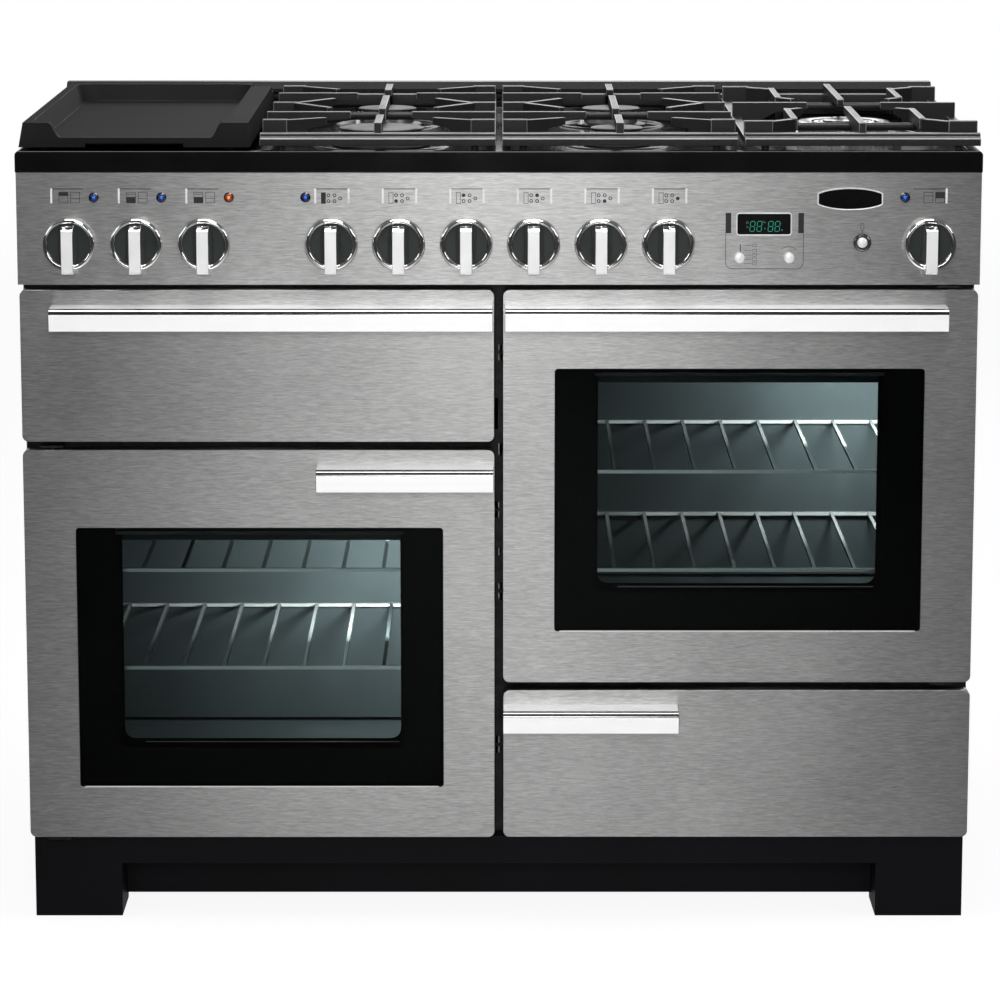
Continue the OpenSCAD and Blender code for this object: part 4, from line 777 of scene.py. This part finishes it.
# printed and pressed marks beside the knobs
marks = {
    "line": 0.55,
    "ink": 0.12,
    "square": (10.8, 12.6),
    "squareHeight": 852.3,
    "circle": 2.1,
    "circles": ((-1.6, 3.2), (5.2, 3.2), (-1.6, -3.4), (5.2, -3.4), (11.6, -0.4)),
    "zone": (-7.4, 5.4, 12.8),
    "spots": {"ceramic_knob": -1, "gas_knob_1": 2, "gas_knob_2": 0, "gas_knob_3": 1, "gas_knob_4": 3,
              "gas_knob_5": 4},
    "bracket": (845.6, 862.6, 2.4),
}
ink = bmesh.new()
posts = bmesh.new()


def inkBox(x0, z0, x1, z1):
    addTo(ink, block((x0, front - marks["ink"], z0), (x1, front, z1)))


def inkFrame(x0, z0, x1, z1, line=marks["line"]):
    inkBox(x0, z0, x0 + line, z1)
    inkBox(x1 - line, z0, x1, z1)
    inkBox(x0 + line, z0, x1 - line, z0 + line)
    inkBox(x0 + line, z1 - line, x1 - line, z1)


def ovenSquares(x, filled):
    # two oven pictograms: filled names the part that is solid
    width, height = marks["square"]
    z0 = marks["squareHeight"] - height / 2
    z1, zm = z0 + height, z0 + height / 2
    first, second = (x, x + width + 2.6)
    inkFrame(first, z0, first + width, z1)
    inkFrame(second, z0, second + width, z1)
    if filled == "right":
        inkBox(first, zm + 1.8, first + width, zm + 2.3)
        inkBox(second, zm - 0.8, second + width, z1)
        return
    inkBox(second, zm - 1.2, second + width, zm - 0.7)
    if filled == "top":
        inkBox(first, z1 - 4.4, first + width, z1)
    else:
        inkBox(first, z0, first + width, zm + 0.6)
        inkBox(first, z1 - 3.0, first + width, z1 - 2.5)


def pressedFrame(x0, x1, *ends):
    # pressed line over a pictogram: its top printed dark as painted shade, its rounded ends bright as painted
    # highlights
    low, top, width = marks["bracket"]
    inkBox(x0 + 0.6, top - 0.9, x1 - 0.6, top)
    for end in ends:
        left = x0 if end == "left" else x1 - width
        addTo(posts, block((left, front - 0.7, low), (left + width, front + 0.2, top), 0.65, 3))


for node, filled in (("grill_knob", "top"), ("oven_function_knob", "low"), ("oven_heat_knob", "low")):
    x = knob["places"][node]
    ovenSquares(x - 11.0, filled)
    pressedFrame(x - 20.6, x + 17.6, "left")
x = knob["places"]["right_oven_knob"]
ovenSquares(x - 8.0, "right")
pressedFrame(x - 19.6, x + 19.4, "right")
for node, spot in marks["spots"].items():
    x, z = knob["places"][node] - 1.2, marks["squareHeight"] - 0.6
    dx, width, height = marks["zone"]
    drawZone = inkBox if spot < 0 else inkFrame
    drawZone(x + dx - width / 2, z - height / 2, x + dx + width / 2, z + height / 2)
    radius = marks["circle"]
    for number, (cx, cz) in enumerate(marks["circles"]):
        addTo(ink, slab(radius * 2, radius * 2, radius, marks["ink"], corner=8,
                        rim=0 if number == spot else marks["line"] * 1.7), None, upright(x + cx, front, z + cz))
    pressedFrame(x - 18.0, x + 22.4, "left", "right")

# outline and bars round the clock, ticks beside its knobs, sign of the oven light
clockFrame = {"left": 258.2, "right": 347.4, "barTop": 834.8, "barLow": 811.6, "low": 770.4, "bar": 6.4,
              "corner": 8.0, "line": 0.6, "steps": 8}
left, right, low = clockFrame["left"], clockFrame["right"], clockFrame["barLow"]
inkBox(left, low, left + clockFrame["bar"], clockFrame["barTop"])
inkBox(right - clockFrame["bar"], low, right, clockFrame["barTop"])
outlines = []
for inset in (0, clockFrame["line"]):
    points = cornerPoints(right - left - 2 * inset, 2 * (low - clockFrame["low"]) - 2 * inset,
                          clockFrame["corner"] - inset, clockFrame["steps"])[2 * clockFrame["steps"] + 2:]
    outlines.append([(points[0][0], 0)] + points + [(points[-1][0], 0)])
outline = stripBetween(*outlines, closed=False)
thicken(outline, marks["ink"])
addTo(ink, outline, None, upright((left + right) / 2, front, low))
x = clock["knobs"]["clock_knob_left"]
inkBox(x + 1.0, 790.2, x + 2.0, 799.0)
for row, z in enumerate((797.6, 791.6, 786.6, 781.6, 776.8)):
    inkBox(x + 4.4 + 1.2 * (row % 3), z - 0.2, x + 14.6, z + 0.2)
    inkFrame(x + 15.6, z - 1.7, x + 20.2, z + 1.7, 0.4)
x = clock["knobs"]["clock_knob_right"]
for step in range(-4, 5):
    angle = math.radians(step * 9)
    cx, cz = x + 13.5 * math.sin(angle), 783.0 + 13.0 * math.cos(angle)
    inkBox(cx - 1.0, cz - 0.25, cx + 1.0, cz + 0.25)
inkFrame(buttonX - 1.9, buttonZ + 14.0, buttonX + 1.9, buttonZ + 21.8, 0.45)
inkBox(buttonX - 0.3, buttonZ + 10.6, buttonX + 0.3, buttonZ + 14.0)
finishPiece(ink, "panelPrint", "inkBlack", smooth=0)
finishPiece(posts, "panelPosts", "brightEdge")

# bare badge plate with a chrome rim, painted bright as its highlight
badge = {"place": (399.6, 850.9), "ellipse": (43.0, 12.8), "half": 37.2, "rim": 1.3, "thick": 2.2}
bm = bmesh.new()
bmesh.ops.create_circle(bm, cap_ends=True, segments=96, radius=1)
bmesh.ops.scale(bm, vec=(badge["ellipse"][0] * mm, badge["ellipse"][1] * mm, 1), verts=bm.verts)
for side in (-1, 1):
    bmesh.ops.bisect_plane(bm, geom=bm.verts[:] + bm.edges[:] + bm.faces[:],
                           plane_co=(side * badge["half"] * mm, 0, 0), plane_no=(side, 0, 0), clear_outer=True)
thicken(bm, badge["thick"])
top = [face for face in bm.faces if face.normal.z > 0.9]
bmesh.ops.inset_region(bm, faces=top, thickness=badge["rim"] * mm, depth=-0.3 * mm, use_even_offset=True)
for face in top:
    face.material_index = 1
bevelEdges(bm, [edge for edge in bm.edges if edge.calc_face_angle(0) > 0.6
                and max(vert.co.z for vert in edge.verts) > 0.0015], 0.3)
moveBy(bm, upright(badge["place"][0], front, badge["place"][1]))
finishPiece(bm, "badgePlate", "brightEdge glossBlack")
print("panel marks printed")


# door glass: an outer pane, the black border printed behind it and an inner pane, with a thin steel strip
# painted as the glint on the liner's window edge and a bright lip painted as the glint under the window
doorWindow = {
    "centres": {"left_door_glass": (-276.25, 316.0), "right_door_glass": (276.25, 501.5)},
    "pane": (423.4, 307.4, 3.7, 3.5),
    "paneBack": -279.7,
    "border": (45.0, 9.0, 0.35),
    "innerPane": (406.0, 290.0, 6.0, 3.8),
    "innerBack": -244.1,
    "innerBorder": (40.8, 12, 0.3),
    "strip": (0.5, 138, 160),
    "lip": (206.0, 153.9, 1.1),
}


def borderPlate(width, height, border, corner, thick):
    # printed border with three sides, open at the top, its inner corners rounded
    half, low = width / 2, -height / 2
    outline = [(-half, low), (half, low), (half, -low), (half - border, -low)]
    for side, start in ((1, 0), (-1, 90)):
        for step in range(7):
            angle = math.radians(start + step * 15)
            outline.append((side * (half - border - corner) + corner * math.cos(angle),
                            low + border + corner - corner * math.sin(angle)))
    outline += [(-half + border, -low), (-half, -low)]
    return plate(outline, thick)


def borderedPane(size, edge, border, behind):
    bm = slab(*size, edge)
    addTo(bm, borderPlate(size[0] - 1, size[1] - 1, *border), 1, turned(-90, "X") @ at(0, behind, 0))
    return bm


for node, (x, z) in doorWindow["centres"].items():
    pane, innerPane, border = doorWindow["pane"], doorWindow["innerPane"], doorWindow["border"]
    bm = borderedPane(pane, 0.5, border, 0.3)
    moveBy(bm, upright(x, doorWindow["paneBack"], z))
    inner = borderedPane(innerPane, 0.4, doorWindow["innerBorder"], -(innerPane[3] + 0.3))
    addTo(bm, inner, None, upright(x, doorWindow["innerBack"], z))
    # a thin bright strip in front of the inner pane, painted as the glint on the liner's window edge
    rise, left, right = doorWindow["strip"]
    low = z - pane[1] / 2 + border[0] + rise
    addTo(bm, block((x - left, -249.2, low), (x + right, -248.6, low + 0.9)), 2)
    # a bright lip along the window's lower edge, painted as its glint
    half, drop, thick = doorWindow["lip"]
    addTo(bm, block((x - half, -283.9, z - drop), (x + half, -283.3, z - drop + thick), 0.2), 3)
    finishPiece(bm, node.replace("_", "") + "Panes", "doorGlass fritBlack wireChrome brightEdge",
                node, 30)
print("door glass printed")


# griddle: a drafted tray with a low front lip between two S-shaped ends
griddleShape = {
    "x": (-548.0, -284.0),
    "y": (-259.0, 294.0),
    "z": (907.0, 935.0),
    "draft": (5.0, 2.0, 1.5),
    "floor": (-522.0, -314.5, -242.5, 271.0, 915.0),
    "floorCorner": 24.0,
    "slope": (12.5, 3.0, 2.0, 10.0),
    "lip": (-514.0, -500.5, -328.5, -316.5, 918.0),
    "hand": (-472.0, -360.0, 911.5),
    "ridge": (-487.0, -336.0),
    "edge": 2.2,
}


def makeGriddle():
    g = griddleShape
    (x0, x1), (y0, y1), (z0, z1) = g["x"], g["y"], g["z"]
    left, right, frontDraft = g["draft"]
    body = block((x0, y0, z0), (x1, y1, z1))
    for vert in body.verts:
        if vert.co.z > (z0 + z1) / 2 * mm:
            vert.co.x += left * mm if vert.co.x < (x0 + x1) / 2 * mm else -right * mm
            vert.co.y += frontDraft * mm if vert.co.y < 0 else 0
    bevelEdges(body, [edge for edge in body.edges if abs(edge.verts[0].co.z - edge.verts[1].co.z) > 0.02
                      and edge.verts[0].co.y > 0], 9, 4)
    fx0, fx1, fy0, fy1, fz = g["floor"]
    hollow = slab(fx1 - fx0, fy1 - fy0, g["floorCorner"], z1 - fz + 2, corner=7)
    sides = g["slope"]
    for vert in hollow.verts:
        if vert.co.z > 1 * mm:
            vert.co.x += -sides[0] * mm if vert.co.x < 0 else sides[1] * mm
            vert.co.y += -sides[2] * mm if vert.co.y < 0 else sides[3] * mm
    moveBy(hollow, at((fx0 + fx1) / 2, (fy0 + fy1) / 2, fz))
    a, b, c, d, lipTop = g["lip"]
    outline = [(a - 2, z1 + 3), (a - 2, z1 + 0.2)]
    for first, last, falling in ((a, b, True), (c, d, False)):
        for step in range(9):
            t = step / 8
            share = t * t * (3 - 2 * t)
            outline.append((first + (last - first) * t, z1 - (z1 - lipTop) * (share if falling else 1 - share)))
    outline += [(d + 2, z1 + 0.2), (d + 2, z1 + 3)]
    lip = plate(outline, 26)
    moveBy(lip, at(0, y0 + 9, 0))
    hx0, hx1, hz = g["hand"]
    hand = block((hx0, y0 - 2, z0 - 3), (hx1, y0 + 30, hz))
    step = block((x1 - 27.2, y1 - 46, z1 - 8), (x1 + 3, y1 + 3, z1 + 3), 3, 3)
    bm = carve(body, hollow, lip, hand, step)
    bevelEdges(bm, [edge for edge in bm.edges if len(edge.link_faces) == 2 and edge.calc_face_angle(0) > 0.5
                    and edge.calc_length() > 1 * mm], g["edge"], 3)
    # a low ridge across the front of the floor, in lighter iron painted as the light line along it
    rx0, rx1 = g["ridge"]
    addTo(bm, block((rx0, fy0 + 1.5, fz - 0.5), (rx1, fy0 + 6.5, fz + 1.4), 0.6), 1)
    for x in (x0 + 26, x1 - 26):
        for y in (y0 + 40, y1 - 40):
            addTo(bm, rod((x, y, 895.4), (x, y, z0 + 1), 6.8, 24), 0)
    # the rounded edges are painted lighter as highlights
    markEdges(bm, 2, 1.4)
    finishPiece(bm, "griddleCast", "griddleIron wornIron edgeIron", "griddle", 50)


makeGriddle()
print("griddle cast")


# pan supports: a low ring with raised steps, round cross bars and bevelled fingers
support = {
    "half": 134.5,
    "front": 20.0,
    "depth": 556.0,
    "low": (909.0, 918.0),
    "top": 935.0,
    "bar": 8.6,
    "thin": 7.8,
    "edge": 1.0,
    "spineLow": 921.0,
    "rod": 4.7,
    "legs": (24.0, 4.4, 895.4),
    "ring": [(0, 909.0), (0, 916.6), (1.4, 918.0), (5.6, 918.6), (6.4, 922.6), (7.4, 923.5), (14.6, 923.5),
             (15.6, 922.4), (16.4, 917.5), (16.4, 909.0)],
    "places": {"pan_support_left": -138.0, "pan_support_centre": 138.5, "pan_support_wok": 415.0},
    "burners": (172.0, 434.0),
    "wok": 298.0,
}
half, top, thin, bar = support["half"], support["top"], support["thin"], support["bar"]
slant, low = top - 0.8, support["low"][0] + 0.4
near, last = support["front"], support["front"] + support["depth"]


def fingerSide(top):
    return [(0, low), (0.24, low), (0.38, low + 4), (0.58, top - 11.5), (0.98, top - 8.5), (1, top - 7.5),
            (1, top - 0.6), (0.99, top), (0, top)]


def barSide(low, top):
    return [(0, low), (1, low), (1, top), (0, top)]


def addBeams(bm, side, width, *runs):
    # upright bars from (x0, depth0) to (x1, depth1) on the hob; side is their outline as (share, height);
    # a bar away from the middle stands on both sides
    for x0, d0, x1, d1 in runs:
        run = math.hypot(x1 - x0, d1 - d0)
        for hand in (-1, 1) if x0 else (1,):
            beam = plate([(u * run, v) for u, v in side], width, support["edge"])
            turn = Matrix.Rotation(math.atan2(d1 - d0, hand * (x1 - x0)), 4, "Z")
            addTo(bm, beam, None, at(hand * x0, front + d0, 0) @ turn)


def supportRing(barHalf, *barDepths):
    y0, y1 = front + near, front + last
    bm = bmesh.new()
    for y, hand in ((y0, 1), (y1, -1)):
        rail = plate([(hand * u, v) for u, v in support["ring"]], 2 * half, 0.9)
        moveBy(rail, turned(90, "Z"))
        bmesh.ops.recalc_face_normals(rail, faces=rail.faces)
        addTo(bm, rail, None, at(0, y, 0))
    inward, radius, foot = support["legs"]
    for side in (-1, 1):
        addTo(bm, block((side * (half - 5.5) - 5.5, y0 + 10, support["low"][0]),
                        (side * (half - 5.5) + 5.5, y1 - 10, support["low"][1]), 1.0))
        x = side * (half - inward)
        for y in (y0 + 12, y1 - 12):
            addTo(bm, rod((x, y, foot), (x, y, support["low"][0] + 1), radius, 20))
    for depth in barDepths:
        place = front + depth, support["low"][1]
        addTo(bm, rod((-barHalf, *place), (barHalf, *place), support["rod"], 20))
    return bm


def twinSupport():
    first, second = support["burners"]
    middle, tipX, tipIn, edge = (first + second) / 2, 63, 67, half - 0.6
    bm = supportRing(half - 2, middle)
    addBeams(bm, fingerSide(top), thin, (edge, first, 36, first), (edge, second, 36, second))
    addBeams(bm, fingerSide(top), bar, (0, near + 7, 0, first - 37), (0, last - 7, 0, second + 46))
    addBeams(bm, barSide(support["spineLow"], top), bar, (0, first + 42, 0, second - 36))
    for depth, *tips in ((near + 54, first - tipIn), (middle, first + tipIn, second - tipIn),
                         (last - 35, second + tipIn)):
        addBeams(bm, barSide(low, top), thin, (edge, depth, half - 29, depth))
        for tip in tips:
            addBeams(bm, fingerSide(slant), thin - 0.6, (half - 27, depth, tipX, tip))
    return bm


def wokSupport():
    wok, inner, edge = support["wok"], 74, half - 0.6
    first, second = near + 36, last - 46
    bm = supportRing(inner + 1, wok - 135, wok + 135)
    addBeams(bm, fingerSide(top), thin, (edge, wok, 44, wok))
    addBeams(bm, fingerSide(top), bar, (0, near + 7, 0, wok - 51), (0, last - 7, 0, wok + 48))
    addBeams(bm, barSide(low, top), thin, (edge, first, half - 34, first), (edge, second, half - 34, second))
    addBeams(bm, barSide(low, slant), thin - 0.6, (half - 30, first - 1, inner, first + 34),
             (half - 30, second + 1, inner, second - 27))
    addBeams(bm, barSide(support["spineLow"], top), thin, (inner, first + 29, inner, wok - 79),
             (inner, wok + 74, inner, second - 22))
    addBeams(bm, fingerSide(slant), thin - 0.6, (inner, wok - 83, 57, wok - 66),
             (inner, wok + 78, 57, wok + 59))
    return bm


for node, x in support["places"].items():
    bm = wokSupport() if node == "pan_support_wok" else twinSupport()
    moveBy(bm, at(x, 0, 0))
    # the narrow faces of the rounded edges are painted lighter as highlights
    markEdges(bm, 1)
    name = "panSupport" + node.split("_")[2].capitalize() + "Cast"
    finishPiece(bm, name, "castIron edgeIron", node, 40)
print("pan supports cast")


# burners: slotted alloy heads, enamelled caps, electrodes, and the pressed rings of the tray below them
burner = {
    "round": [(-138.0, -112.0, 50.5), (-138.0, 150.0, 36.0), (138.5, -112.0, 31.5), (138.5, 150.0, 36.0)],
    "wok": (415.0, 14.0),
    "tooth": 5.0,
    "cup": 869.0,
    "electrodeTurn": 205,
    "electrode": [(0, 897), (2.6, 897), (2.6, 908), (1.8, 909.5), (1.8, 911), (0, 911)],
    "wokBase": [(26, 869), (30, 893), (67.8, 895.2), (67.8, 896.6), (66, 897.8), (54.5, 898.6), (54, 903),
                (50, 903.4), (49.6, 909), (44.4, 909), (44, 899.5), (36, 899.3), (35.4, 907.2), (29, 907.6),
                (28.6, 911.8), (0, 912)],
    "wokRing": [(42, 910.2), (55.4, 910.2), (56, 910.9), (55.7, 911.9), (54, 912.7), (49, 913), (44, 912.7),
                (41.8, 911.9), (41.4, 911)],
    "wokCap": [(0, 912.1), (24.2, 912.1), (25, 912.7), (24.8, 913.8), (23, 914.6), (0, 914.9)],
    "cone": [(0, 899), (3.4, 899), (3.2, 905), (2.2, 911.5), (0.9, 913.8), (0, 914)],
    "post": [(0, 899), (2.6, 899), (2.6, 913), (2.2, 913.8), (0, 913.8)],
}


def toothRing(bm, place, radius, base, height, pitch):
    count = round(math.tau * radius / pitch)
    width = pitch * 0.66
    for number in range(count):
        tooth = block((radius - burner["tooth"], -width / 2, base), (radius, width / 2, base + height), 0.4, 1)
        addTo(bm, tooth, 0, at(*place, 0) @ turned(360 * (number + 0.5) / count, "Z"))


heads, caps, beads = bmesh.new(), bmesh.new(), bmesh.new()
for x, y, radius in burner["round"]:
    outline = [(0, burner["cup"]), (radius - 14, burner["cup"]), (radius - 12, 893), (radius + 7, 895.4),
               (radius + 7, 897), (radius + 5, 898.2), (radius - 3, 899.4), (radius - 3.4, 904.4),
               (radius - 8.4, 904.8), (radius - 8.8, 913.2), (0, 913.4)]
    head = lathe(outline, (x, y, 0), steps=72)
    for face in head.faces:
        middle = face.calc_center_median()
        if math.hypot(middle.x - x * mm, middle.y - y * mm) > (radius - 3.2) * mm:
            face.material_index = 2
    addTo(heads, head)
    toothRing(heads, (x, y), radius - 3.6, 904.0, 9.4, 9.4)
    edge = [(0, 914.0), (radius - 1.4, 914.0), (radius - 0.2, 914.5), (radius, 915.3), (radius - 0.5, 916.3),
            (radius - 2.2, 917.0), (radius * 0.6, 917.6), (0, 917.8)]
    addTo(caps, lathe(edge, (x, y, 0), steps=80), 0)
    turn = math.radians(burner["electrodeTurn"])
    ex, ey = x + (radius + 3.6) * math.cos(turn), y + (radius + 3.6) * math.sin(turn)
    addTo(heads, lathe(burner["electrode"], (ex, ey, 0), steps=16), 1)
    addTo(heads, rod((ex, ey, 910.5), (ex + 1.2, ey + 0.6, 913.6), 0.7, 8), 0)
x, y = burner["wok"]
addTo(heads, lathe([(0, burner["cup"])] + burner["wokBase"], (x, y, 0), steps=80), 0)
toothRing(heads, (x, y), 54, 902.6, 7.2, 9.0)
toothRing(heads, (x, y), 35.6, 906.8, 5.2, 7.2)
addTo(caps, lathe(burner["wokRing"], (x, y, 0), steps=88, closed=True), 1)
addTo(caps, lathe(burner["wokCap"], (x, y, 0), steps=56), 1)
for dx, dy, kind in ((-40, -8, "cone"), (35, -8, "cone"), (1.5, -40, "post"), (-7, 38, "post")):
    addTo(heads, lathe(burner[kind], (x + dx, y + dy, 0), steps=16), 1)
finishPiece(heads, "burnerHeads", "burnerAlloy ceramicWhite shadeSteel", "burner_bodies", 35)
finishPiece(caps, "burnerCaps", "capEnamel capGloss", "burner_caps", 40)
for x, y, radius in [(x, y, 92), (x, y, 76)] + [(x, y, r + 26) for x, y, r in burner["round"]]:
    addTo(beads, lathe([(radius - 5, 894.6), (radius - 4, 895.3), (radius - 2, 896.5), (radius, 897),
                        (radius + 2, 896.5), (radius + 4, 895.3), (radius + 5, 894.6)], (x, y, 0), steps=96,
                       closed=True))
finishPiece(beads, "trayBeads", "railBlack", smooth=60)
print("burners fitted")


# oven wires: those along X catch the light; those along Y and those behind the rear wall take the enamel's
# colour, painted as shade; a screen stands behind each fan grille
bm = copyOfNode("oven_furniture")
for face in bm.faces:
    reach = [max(vert.co[axis] for vert in face.verts) - min(vert.co[axis] for vert in face.verts)
             for axis in (0, 1)]
    if face.calc_center_median().y > 0.1415 or reach[1] > 2 * reach[0] or reach[0] < 0.006:
        face.material_index = 1
finishPiece(bm, "ovenWires", "wireChrome ovenEnamel", "oven_furniture", 60)
screens = bmesh.new()
for x, z in ((-276.0, 325.0), (276.0, 510.5)):
    addTo(screens, lathe([(0, -143.8), (96, -143.8), (96, -142.2), (0, -142.2)], (x, 0, z), "front", 48))
finishPiece(screens, "fanScreens", "ovenEnamel")

# material, record slot, and the edge radius of each node (0 keeps the node as it is)
finishes = [
    ("zincSteel", "zinc_steel", {"chassis": 0.5, "back_panel": 0.4, "drawer_box": 0.4, "fan_motors": 0}),
    # front frame and hinge brackets painted near-black as the shade in the gaps round the doors
    ("shadeSteel", "zinc_steel", {"front_frame": 0.4, "hinge_brackets": 0.3}),
    ("stainlessPlain", "zinc_steel", {"runner_rails": 0.3, "grill_frame": 0.3, "grill_mid_runners": 0.3,
                                      "left_fan": 0, "right_fan": 0}),
    ("brushedSteel", "brushed_steel", {"control_panel": 0.6, "left_door_skin": 0.8, "right_door_skin": 0.8,
                                       "grill_front": 0.8, "drawer_front": 0.8}),
    ("ovenEnamel", "oven_enamel", {"grill_cavity": 0.5, "left_oven_cavity": 0.5, "right_oven_cavity": 0.5,
                                   "left_door_liner": 0.5, "right_door_liner": 0.5, "grill_pan": 0.5}),
    ("sideEnamel", "black_paint", {"side_panels": 0.7}),
    ("footPlastic", "dark_plastic", {"levelling_feet": 0.8}),
    ("darkPlastic", "dark_plastic", {"service_box": 0.8, "switch_bodies": 0}),
    ("glossBlack", "black_gloss", {"hob_tray": 2.2}),
    ("railBlack", "black_gloss", {"vent_rail": 0.7}),
    ("hobGlass", "hob_glass", {"ceramic_zone": 0.8}),
    ("brassMetal", "brass", {"gas_rail": 0}),
    ("elementSteel", "element_steel", {"heating_elements": 0}),
    ("woolFibre", "wool", {"insulation": 0}),
]
for material, slot, widths in finishes:
    for node, width in widths.items():
        if width:
            dress(node, material, width)
        else:
            paintNode(node, material)
for node in ("left_door_handle", "right_door_handle", "grill_handle", "drawer_handle"):
    dressHandle(node)

# the toe board of the plinth, seen under its front, reaches lower between the standing ends
toe = {"from": 24.0, "to": 11.0, "half": 480.0}
bm = copyOfNode("plinth")
for vert in bm.verts:
    if abs(vert.co.z - toe["from"] * mm) < 0.5 * mm and abs(vert.co.x) < toe["half"] * mm:
        vert.co.z = toe["to"] * mm
roundEdges(bm, 0.8)
finishPiece(bm, "plinthPainted", "satinBlack", "plinth")
print("nodes dressed")

low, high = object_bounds()
